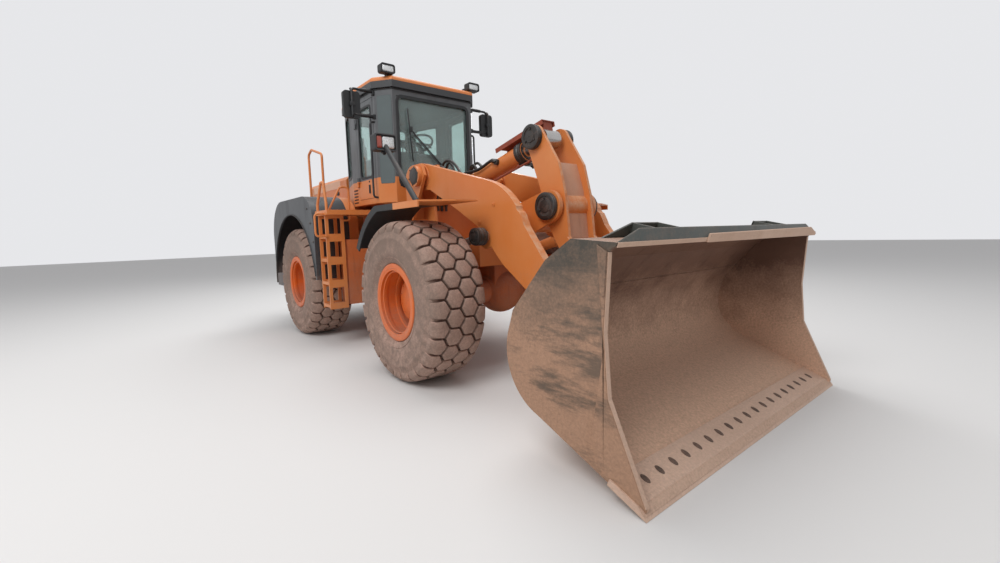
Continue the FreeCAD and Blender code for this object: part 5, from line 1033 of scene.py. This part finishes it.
# Painted highlight: the web's pale colour stands for the sky's light on its forward face.
web_sky_highlight = surface("web_sky_highlight", (0.60, 0.27, 0.14), (0.66, 0.38, 0.26), BROWN_GRIME, fading=0.9, specks=0.35,
                   rough=0.6, dust=0.75, top=2.3, dust_colour=(0.52, 0.33, 0.26))
line = [(2.155, 2.10), (2.235, 1.845), (2.272, 1.60), (2.296, 1.38), (2.282, 1.378), (2.258, 1.60),
        (2.22, 1.84), (2.14, 2.095)]
web = plate("web", facing_y(line, -WEB_HALF), (0, 2 * WEB_HALF, 0), 0.002)
fit("crank_web", "bellcrank", web_sky_highlight, web)
line = [(2.35, 1.40), (2.43, 1.30), (2.468, 1.02), (2.44, 1.00), (2.40, 1.22), (2.33, 1.33)]
ribs = [plate("rib", facing_y(line, sign * 0.1915), (0, sign * 0.016, 0), 0.002) for side, sign in SIDES]
fit("crank_ribs", "bellcrank", boom_sky_highlight, *ribs)

# %% [markdown]
# ## The tilt cylinder's hoses, ports and pipe
# On each side a black hose comes from the tower, lies along the barrel and climbs to a port near
# the gland. A thin rusty pipe runs below the barrel. Places are given along the cylinder, across
# the machine and over the cylinder's axis.
# %% Along the tilt cylinder
TILT_BASE, ALONG, OVER = Vector((0.536, 0, 2.034)), Vector((0.9733, 0, 0.2293)), Vector((-0.2293, 0, 0.9733))


def on_tilt(along, across, over):
    return TILT_BASE + ALONG * along + Vector((0, across, 0)) + OVER * over


route = [(0.03, 0.075, 0.125), (0.12, 0.10, 0.12), (0.26, 0.122, 0.075), (0.42, 0.124, 0.045),
         (0.55, 0.115, 0.062), (0.64, 0.108, 0.075), (0.69, 0.118, 0.06), (0.72, 0.12, 0.035)]
PORTS = (("port_boss", (0.73, 0.09, 0.018), (0.73, 0.128, 0.026), 0.032, 20, 0.003, 2),
         ("port_elbow", (0.735, 0.121, 0.02), (0.69, 0.121, 0.048), 0.022, 12, 0.004, 2),
         ("hose_nut", (0.705, 0.1195, 0.042), (0.668, 0.116, 0.062), 0.026, 6, 0.002, 1))
for side, sign in SIDES:
    hose = tube("hose", [on_tilt(*p) for p in on_side(route, sign)], 0.0175)
    fit(f"tilt_hose_{side}", "tilt_barrel", black_plastic, hose)
ports = [bar(name, *[on_tilt(*p) for p in on_side((start, end), sign)], *sizes)
         for side, sign in SIDES for name, start, end, *sizes in PORTS]
fit("tilt_clamps", "tilt_barrel", grease, *ports)

# %% Gland and pipe
profile = [(0.106, -0.07), (0.117, -0.062), (0.119, -0.02), (0.113, -0.012), (0.113, 0.0), (0.118, 0.006),
           (0.117, 0.032), (0.09, 0.038), (0.06, 0.036), (0.052, 0.03), (0.052, -0.07)]
GLAND_AT, GLAND_BOLTS = 1.084, 1.118
gland = spun("gland", profile, (0, 0, 0), steps=48)
turn = Vector((0, 1, 0)).rotation_difference(ALONG).to_matrix().to_4x4()
gland.matrix_world = Matrix.Translation(on_tilt(GLAND_AT, 0, 0)) @ turn
parts = [settle(gland)]
for across, over in circle_of(8, 0.082, 20):
    foot = on_tilt(GLAND_BOLTS, across, over)
    parts.append(bar("gland_bolt", foot, foot + ALONG * 0.016, 0.011, 6, 0.0015))
fit("tilt_gland", "tilt_barrel", grease, *parts)
rust = surface("rust_red", (0.27, 0.055, 0.028), (0.36, 0.09, 0.045), (0.07, 0.03, 0.025), fading=0.6,
               specks=0.5, rough=0.6, dust=0.2, on_top=0.15, top=2.6, scale=4.0, bump=0.6)
path = [(0.25, -0.03, -0.098), (0.30, -0.04, -0.128), (1.16, -0.04, -0.128), (1.20, -0.03, -0.10)]
parts = [tube("pipe", [on_tilt(*p) for p in path], 0.011, 0.03)]
parts += [bar("stay", on_tilt(s, -0.04, -0.115), on_tilt(s + 0.03, -0.04, -0.115), 0.02, 12, 0.004, 2)
          for s in (0.5, 0.98)]
fit("level_pipe", "tilt_barrel", rust, *parts)
dress("rod_guard", rust)


# %% [markdown]
# ## The bucket's finish
# Stone has scoured the inside to a pale dusty brown, darker up the back wall. Outside, old dark
# paint is left near the top of the cheeks and the dust lies over it in slanting patches.
# %% Two dusty finishes, one for each side of the cheek
def dusty_over(name, base, paint, faded, past_y, dust, top, scale, soil, tilt, floor=0.0):
    """A copy of a finish with a painted and dusted one shown past a distance from the middle."""
    material, tree, sockets = new_finish(name, base)
    worn = weathered(tree, paint, faded, (0.03, 0.028, 0.022), 0.8, 0.2, 0.7)
    dusty = dusted(tree, floor, top, dust, 0.0, scale)
    place = object_place(tree)
    wires = {"Vector": place, "Rotation": (0, tilt, 0), "Scale": (0.7, 1.0, 3.2)}
    smears = noise(tree, add(tree, "Mapping", wires).outputs[0], 1.7, 9.0, 0.7)
    mask = math_of(tree, "MULTIPLY", dusty["Mask"], ramp(tree, smears, 0.5, 0.62, 1.0, 0.25), clamp=True)
    grains = blend(tree, dusty["Grain"], rgba(soil, 0.8), rgba(soil, 1.06))
    outside = blend(tree, mask, worn["Color"], grains)
    cover(tree, sockets, picked(tree, place, "Y", "GREATER_THAN", past_y), outside)
    return material


DARK_PAINT, WORN_PAINT, CHEEK_DUST = (0.05, 0.05, 0.042), (0.105, 0.08, 0.06), (0.43, 0.25, 0.16)
dress("bucket_shell", dusty_over("bucket_finish", bucket_steel, DARK_PAINT, WORN_PAINT, 1.452, 2.2, 1.5, 2.6,
                                 CHEEK_DUST, 0.6))

EDGE_X, EDGE_TURN = 4.0, math.radians(22)
FORWARD = Vector((math.cos(EDGE_TURN), 0, -math.sin(EDGE_TURN)))


def in_bucket(u, y, w):
    """A place in the level bucket: u forward of the edge's tip, w up from its floor."""
    x = EDGE_X + u * math.cos(EDGE_TURN) + w * math.sin(EDGE_TURN)
    return Vector((x, y, -u * math.sin(EDGE_TURN) + w * math.cos(EDGE_TURN)))


# %% [markdown]
# ## The bolted cutting edge
# The edge is bolted on from above by nineteen countersunk bolts. Each shows as a long dish with a
# head in it, coloured dark as painted shade in its countersunk hole. One bolt is made flat, then copied
# along the edge. A hard strip is welded to the bevel, and a liner covers the floor as far as the bend
# of the back wall.
# %% Edge bolts
# Painted shade: the bolts' dark colour stands for the shade in their countersunk holes.
bolt_recess_shade = surface("bolt_recess_shade", (0.05, 0.035, 0.028), (0.10, 0.07, 0.055), (0.02, 0.015, 0.012), fading=0.6,
                    runs=0.0, specks=0.6, rough=0.6, metal=0.3, dust=0.35, on_top=0.2, top=0.5, scale=9.0,
                    bump=0.6)
BOLTS, BOLT_PITCH = 19, 0.142
profile = [(0.012, 0.0004), (0.0125, 0.0055), (0.021, 0.0035), (0.0295, 0.0035), (0.032, 0.0015),
           (0.033, 0.0004)]
dish = spun("dish", profile, (0, 0, 0), steps=32)
dish.matrix_world = Matrix.Rotation(math.radians(90), 4, "X")
dish = joined("edge_bolt", [settle(dish), bar("head", (0, 0, 0.0008), (0, 0, 0.0052), 0.0115, 20, 0.001)])
at = Matrix.Translation(in_bucket(-0.165, -(BOLTS - 1) / 2 * BOLT_PITCH, 0.0402))
dish.matrix_world = at @ Matrix.Rotation(EDGE_TURN, 4, "Y") @ Matrix.Diagonal((1.0, 0.6, 1, 1))
fit("edge_bolts", "bucket", bolt_recess_shade, outward(arrayed(settle(dish), (BOLTS, (0, BOLT_PITCH, 0)))))

# %% Hard strip on the bevel and liner on the floor
pale_steel = surface("pale_steel", (0.60, 0.40, 0.29), (0.70, 0.49, 0.37), (0.16, 0.09, 0.065), fading=0.9,
                     runs=0.1, specks=0.55, rough=0.6, metal=0.1, dust=0.7, top=2.2, scale=8.0,
                     dust_colour=(0.68, 0.46, 0.34), bump=0.7)
LINER, LINER_HALF, STRIP_HALF = 0.008, 1.4345, 1.47
line = [(-0.018, 0.0107), (-0.062, 0.0358), (-0.0605, 0.0388), (-0.0165, 0.0137)]
strip = [in_bucket(u, -STRIP_HALF, w) for u, w in line]
strip = plate("strip", strip, (0, 2 * STRIP_HALF, 0), 0.001)
fit("edge_strip", "bucket", pale_steel, strip)
line = [(-0.262, 0.0255), (-0.55, 0.0255), (-0.85, 0.0255), (-0.95, 0.037), (-1.045, 0.0715), (-1.134, 0.125),
        (-1.19, 0.19), (-1.227, 0.262), (-1.246, 0.345), (-1.2535, 0.43), (-1.2525, 0.512), (-1.2, 0.654)]
inside = []
for (u, w), before, after in zip(line, line[:1] + line, line[1:] + line[-1:]):
    way = (Vector(after) - Vector(before)).normalized()
    inside.append((u + way.y * LINER, w - way.x * LINER))
ring = [in_bucket(u, -LINER_HALF, w) for u, w in line + inside[::-1]]
fit("floor_liner", "bucket", bucket_steel, plate("liner", ring, (0, 2 * LINER_HALF, 0)))

# %% [markdown]
# ## Cheek plates and spill guard
# A side cutter is welded outside each cheek along its front, with a shorter stiffener over its
# top. Behind the lip a guard stops stone from rolling back over the arms; its near part has kept
# its dark paint, and the lip is crusted with dust.
# %% Side cutters
cutter_finish = dusty_over("cutter_finish", bucket_steel, DARK_PAINT, WORN_PAINT, 1.0, 2.6, 1.6, 3.4,
                           CHEEK_DUST, 0.9)
front = [(-0.724, 1.15), (-0.592, 0.742), (-0.437, 0.4285), (-0.036, 0.044), (-0.30, 0.012)]
back = [(-0.44, 0.16), (-0.475, 0.30), (-0.555, 0.66), (-0.80, 1.16)]
stiff = [(-0.725, 1.148), (-0.655, 0.935), (-0.668, 0.925), (-0.76, 1.156)]
cutters = []
for side, sign in SIDES:
    for line, y, thick in ((front + back, 1.4605, 0.009), (stiff, 1.4698, 0.007)):
        corners = [in_bucket(u, sign * y, w) for u, w in line]
        cutters.append(plate("cutter", corners, (0, sign * thick, 0), 0.002))
    for (u0, w0), (u1, w1) in zip(back, back[1:]):
        y = sign * 1.461
        cutters.append(bar("weld_run", in_bucket(u0, y, w0), in_bucket(u1, y, w1), 0.006, 10))
fit("side_cutters", "bucket", cutter_finish, *cutters)

# %% Pale front edges of the cheeks
line = [(-0.724, 1.149), (-0.592, 0.741), (-0.437, 0.4275), (-0.036, 0.043)]
fronts = []
for low in (1.433, -1.463):
    for (u0, w0), (u1, w1) in zip(line, line[1:]):
        way = Vector((u1 - u0, w1 - w0)).normalized() * 0.004
        corners = [(u0, w0), (u1, w1), (u1 - way.y, w1 + way.x), (u0 - way.y, w0 + way.x)]
        fronts.append(plate("cheek_edge", [in_bucket(u, low, w) for u, w in corners], (0, 0.03, 0)))
fit("cheek_edges", "bucket", pale_steel, *fronts)

# %% Spill guard and lip
guard_dark = surface("guard_dark", (0.055, 0.062, 0.055), (0.085, 0.095, 0.085), (0.03, 0.03, 0.026),
                     fading=0.7, runs=0.2, rough=0.45, dust=0.05, on_top=0.25, top=2.2, scale=5.0, bump=0.4)


def bucket_plate(name, corners, push, edge):
    return plate(name, [in_bucket(*p) for p in corners], push, edge)


GUARD_HIGH, GUARD_LEAN = 0.068, 0.4
line = [(-1.452, 0.0), (-1.25, GUARD_HIGH), (1.25, GUARD_HIGH), (1.452, 0.0)]
corners = [(-0.708 - w * GUARD_LEAN, y, 1.206 + w) for y, w in line]
parts = [bucket_plate("guard", corners, FORWARD * 0.012, 0.003)]
for side, sign in SIDES:
    wing = [(-0.95, sign * y, w) for y, w in ((0.72, 1.135), (0.72, 1.225), (1.0, 1.225), (1.25, 1.135))]
    parts.append(bucket_plate("wing", wing, FORWARD * 0.014, 0.003))
for y in (-1.0, -0.732, 0.72, 0.988):
    gusset = [(-0.95, y, 1.15), (-0.95, y, 1.225), (-0.72, y, 1.262), (-0.71, y, 1.205)]
    parts.append(bucket_plate("gusset", gusset, (0, 0.012, 0), 0.002))
fit("spill_guard", "bucket", guard_dark, *parts)
line = [(-0.54, 1.186), (-0.54, 1.245), (1.26, 1.262), (1.452, 1.206), (1.452, 1.182)]
fit("lip_bar", "bucket", pale_steel,
    bucket_plate("bar", [(-0.688, y, w) for y, w in line], FORWARD * 0.012, 0.003))
line = [(-1.455, 1.1885), (1.455, 1.1885), (1.455, 1.2165), (-1.455, 1.2165)]
fit("lip_edge", "bucket", pale_steel,
    bucket_plate("edge", [(-0.6905, y, w) for y, w in line], FORWARD * 0.005, 0.0015))

# %% [markdown]
# ## Black fenders
# The rear mudguards are moulded black but for the strip next to the hood. A rolled lip runs
# round each wheel arch and keeps the skin stiff.
# %% Fender finish and lips
LIP_R, LIP_Y, REAR_AXLE_X = 1.009, 1.381, HINGE_X - HALF_BASE
dress("rear_fenders", dusty_over("fender_finish", orange_paint, (0.028, 0.031, 0.035), (0.055, 0.059, 0.064),
                                 0.9, 0.5, 1.5, 3.0, (0.30, 0.19, 0.145), 0.2, floor=0.2))
for side, sign in SIDES:
    turns = [math.radians(a) for a in range(8, 185, 8)]
    arc = [(REAR_AXLE_X + LIP_R * math.cos(a), sign * LIP_Y, AXLE_Z + LIP_R * math.sin(a)) for a in turns]
    fit(f"arch_lip_{side}", "rear_frame", black_plastic, tube("lip", arc, 0.011, None, 2))

# %% [markdown]
# ## Ladder tubes and treads
# At each ladder a bent tube makes a hand loop outside the steps and another rises to the deck.
# The steps have studs that bite into a boot's sole: one stud, copied over the step.
# %% Ladder tubes
TUBE_X = -0.739
loop = [(1.322, 1.755), (1.462, 1.755), (1.462, 1.47), (1.322, 1.47)]
rise = [(1.30, 1.76), (1.12, 2.10), (1.01, 2.10), (1.01, 1.67), (1.12, 1.67)]
for side, sign in SIDES:
    parts = [tube("ladder_tube", [(TUBE_X, sign * y, z) for y, z in path], radius, 0.05)
             for path, radius in ((loop, 0.0135), (rise, 0.0125))]
    for y, z in ((1.325, 1.755), (1.325, 1.47), (1.30, 1.76), (1.12, 1.67)):
        parts.append(bar("tube_foot", (-0.752, sign * y, z), (-0.7385, sign * y, z), 0.021, 16, 0.002))
    fit(f"ladder_tubes_{side}", "rear_frame", orange_paint, *parts)

# %% Studs on the steps and the deck
for side, sign in SIDES:
    studs = [bar("step_stud", (x, sign * y, z), (x, sign * y, z + 0.0045), 0.0095, 10, radius_end=0.006)
             for x, y, z in ((-0.99, 1.115, 0.5803), (-1.03, 0.80, 1.8003))]
    arrayed(studs[0], (6, (0, sign * 0.038, 0)), (5, (0.052, 0, 0)), (4, (0, 0, 0.3)))
    arrayed(studs[1], (7, (0, sign * 0.08, 0)), (8, (0.054, 0, 0)))
    fit(f"step_studs_{side}", "rear_frame", orange_paint, *studs)

# %% [markdown]
# ## Hoses at the tower
# Black hoses leave the front frame between the tower's plates and loop over to the tilt
# cylinder and the boom. Each one ends in a six-sided nut.
# %% Tower hoses
HOSE_RUNS = ((0.0155, [(0.30, 0.175, 1.74), (0.28, 0.175, 2.02), (0.31, 0.176, 2.27), (0.41, 0.177, 2.335),
                       (0.49, 0.177, 2.28), (0.515, 0.177, 2.20), (0.52, 0.177, 2.14)]),
             (0.017, [(0.27, 0.22, 1.74), (0.25, 0.225, 2.04), (0.30, 0.23, 2.29), (0.42, 0.225, 2.36),
                      (0.56, 0.20, 2.31), (0.66, 0.185, 2.17), (0.72, 0.18, 2.06)]),
             (0.0145, [(0.33, 0.31, 1.74), (0.31, 0.31, 2.05), (0.36, 0.32, 2.25), (0.47, 0.33, 2.28),
                       (0.58, 0.335, 2.19), (0.64, 0.335, 2.05)]))
hoses = []
for side, sign in SIDES:
    for radius, route in HOSE_RUNS:
        path = [Vector(p) for p in on_side(route, sign)]
        hoses.append(tube("tower_hose", path, radius))
        start, end, way = path[0], path[-1], (path[-1] - path[-2]).normalized()
        nuts = ((end - way * 0.045, end - way * 0.005),
                (start + Vector((0, 0, 0.06)), start + Vector((0, 0, 0.1))))
        hoses += [bar("hose_nut", low, high, 0.0245, 6, 0.002) for low, high in nuts]
fit("tower_hoses", "front_frame", grease, *hoses)


# %% [markdown]
# ## Hood sides, exhaust and latches
# The engine doors are pressed sheet: a plain raised band runs along each, under it sit two
# flush latches. The exhaust's guard is slotted, and clamps hold the pipe.
# %% Band and latches
def raised(shape, face, sign, lift, thick, edge):
    """A thin plate with a flat outline, lifted a little off a face at one side."""
    return plate("raised", facing_y(shape, sign * (face + lift)), (0, sign * thick, 0), edge)


band_paint = surface("band_paint", (0.72, 0.40, 0.24), (0.80, 0.52, 0.38), BROWN_GRIME, fading=0.8, runs=0.1,
                     specks=0.2, rough=0.45, dust=0.2, on_top=0.1)
for side, sign in SIDES:
    door = f"engine_door_{side}"
    face = max(sign * vertex.co.y for vertex in nodes[door].data.vertices)
    print(side, "door face", round(face, 4))
    band = round_corners(-3.50, -2.20, 2.24, 2.36, 0.02)
    fit("hood_band", door, band_paint, raised(band, face, sign, 0.0004, 0.004, 0.0015))
    latches = []
    for x in (-3.38, -2.32):
        cup = round_corners(x - 0.05, x + 0.05, 2.13, 2.19, 0.015)
        grip = round_corners(x - 0.032, x + 0.032, 2.146, 2.172, 0.01)
        latches += [raised(cup, face, sign, 0.0004, 0.005, 0.002),
                    raised(grip, face, sign, 0.005, 0.007, 0.002)]
    fit(f"door_latches_{side}", door, black_plastic, *latches)

# %% Exhaust guard and clamps
EXHAUST, INTAKE = Vector((-2.035, -0.23, 0)), Vector((-2.02, 0.23, 0))
dress("exhaust_intake", pin_steel)
slots = []
for x, y in circle_of(12, 0.0775):
    for low in (2.55, 2.65, 2.75):
        foot = EXHAUST + Vector((x, y, low))
        slots.append(bar("guard_slot", foot, foot + Vector((0, 0, 0.07)), 0.0075, 8))
fit("guard_slots", "rear_frame", pin_steel, *slots)
rings = [bar("ring", EXHAUST + Vector((0, 0, z)), EXHAUST + Vector((0, 0, z + thick)), radius, sides, 0.003)
         for z, thick, radius, sides in ((2.445, 0.018, 0.0565, 32), (2.905, 0.018, 0.0565, 32),
                                         (2.485, 0.014, 0.0835, 36), (2.86, 0.014, 0.0835, 36))]
lug = block("clamp_lug", (-1.985, -0.238, 2.44), (-1.955, -0.222, 2.468), 0.003, 1)
fit("exhaust_clamps", "rear_frame", pin_steel, *rings, lug)
profile = [(0.004, 2.838), (0.106, 2.838), (0.112, 2.83), (0.112, 2.846), (0.1, 2.862), (0.06, 2.876),
           (0.004, 2.88)]
lid = spun("lid", profile, (0, 0, 0), steps=48)
lid.matrix_world = Matrix.Translation(INTAKE) @ Matrix.Rotation(math.radians(90), 4, "X")
fit("intake_lid", "rear_frame", black_plastic, settle(lid))

# %% [markdown]
# ## Grease nipples and bolts
# Grease nipples stand on small pads on the boom's outside, near its pins. Three six-sided bolts
# hold each fender.
# %% Nipples and bolt rows
BOOM_FACE, FENDER_FACE, BOLT_TOP = 0.6055, 1.3803, 1.389
FENDER_BOLTS = ((-1.30, 1.85), (-1.20, 1.65), (-1.12, 1.4))
for side, sign in SIDES:
    nipples = []
    for x, z in ((1.78, 1.72), (1.55, 1.56), (2.60, 0.93)):
        foot, top, root, tip = [(x, sign * (BOOM_FACE + out), z) for out in (0, 0.006, 0.005, 0.022)]
        nipples += [bar("pad", foot, top, 0.022, 20, 0.0015),
                    bar("nipple", root, tip, 0.007, 12, radius_end=0.004)]
    fit(f"grease_nipples_{side}", "boom", orange_paint, *nipples)
    bolts = bolts_on("bolt", (0, 0), FENDER_BOLTS, sign, FENDER_FACE, BOLT_TOP, 0.014)
    fit(f"fender_bolts_{side}", "rear_frame", pin_steel, *bolts)

# %% [markdown]
# ## Floor, light and background
# A pale floor and an even overcast light let every surface show its own colour. The world lights
# the machine softly; seen directly, in gloss or through glass, it is a plain pale grey.
# %% The floor
bpy.ops.object.select_all(action="DESELECT")
bpy.ops.mesh.primitive_plane_add(size=90, location=(0, 0, -0.002))
floor = bpy.context.object
floor.name = "studio_floor"
floor_finish, tree, sockets = new_finish("studio_floor")
sockets["Base Color"].default_value = (0.72, 0.71, 0.70, 1)
sockets["Roughness"].default_value = 0.9
floor.data.materials.append(floor_finish)
floor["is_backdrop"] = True

# %% The world and the lamps
AMBIENT, BACKDROP = 0.48, 0.82
world = bpy.data.worlds.new("soft_studio")
bpy.context.scene.world = world
world.use_nodes = True
tree = world.node_tree
sky = tree.nodes["Background"].inputs
sky["Color"].default_value = (0.97, 0.975, 1.0, 1)
seen = add(tree, "LightPath").outputs
direct = math_of(tree, "MAXIMUM", seen["Is Camera Ray"], seen["Is Transmission Ray"])
direct = math_of(tree, "MAXIMUM", direct, seen["Is Glossy Ray"])
tree.links.new(ramp(tree, direct, 0.0, 1.0, AMBIENT, BACKDROP), sky["Strength"])


def softbox(name, place, target, size, power):
    bpy.ops.object.light_add(type="AREA", location=place)
    lamp = bpy.context.object
    lamp.name = name
    lamp.data.shape = "DISK"
    lamp.data.size = size
    lamp.data.energy = power
    lamp.visible_transmission = False
    way = Vector(target) - Vector(place)
    lamp.rotation_euler = way.to_track_quat("-Z", "Y").to_euler()


softbox("key_softbox", (4.0, -7.5, 9.0), (0.3, 0, 1.2), 6.0, 560)
softbox("top_softbox", (-1.0, 1.0, 11.0), (0, 0, 1.0), 8.0, 520)
softbox("back_softbox", (-8.0, 6.0, 7.0), (0, 0, 1.5), 6.0, 320)
bpy.context.scene.view_settings.view_transform = "Standard"
print("floor, world and three lamps")

# %% [markdown]
# ## The dressed box
# The box round everything dressed, with the floor left out, is printed. The dressed
# machine must stay in the box of its solids.
# %% Print the dressed box
low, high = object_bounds()
print("dressed box", [round(c, 4) for c in (*low, *high)])
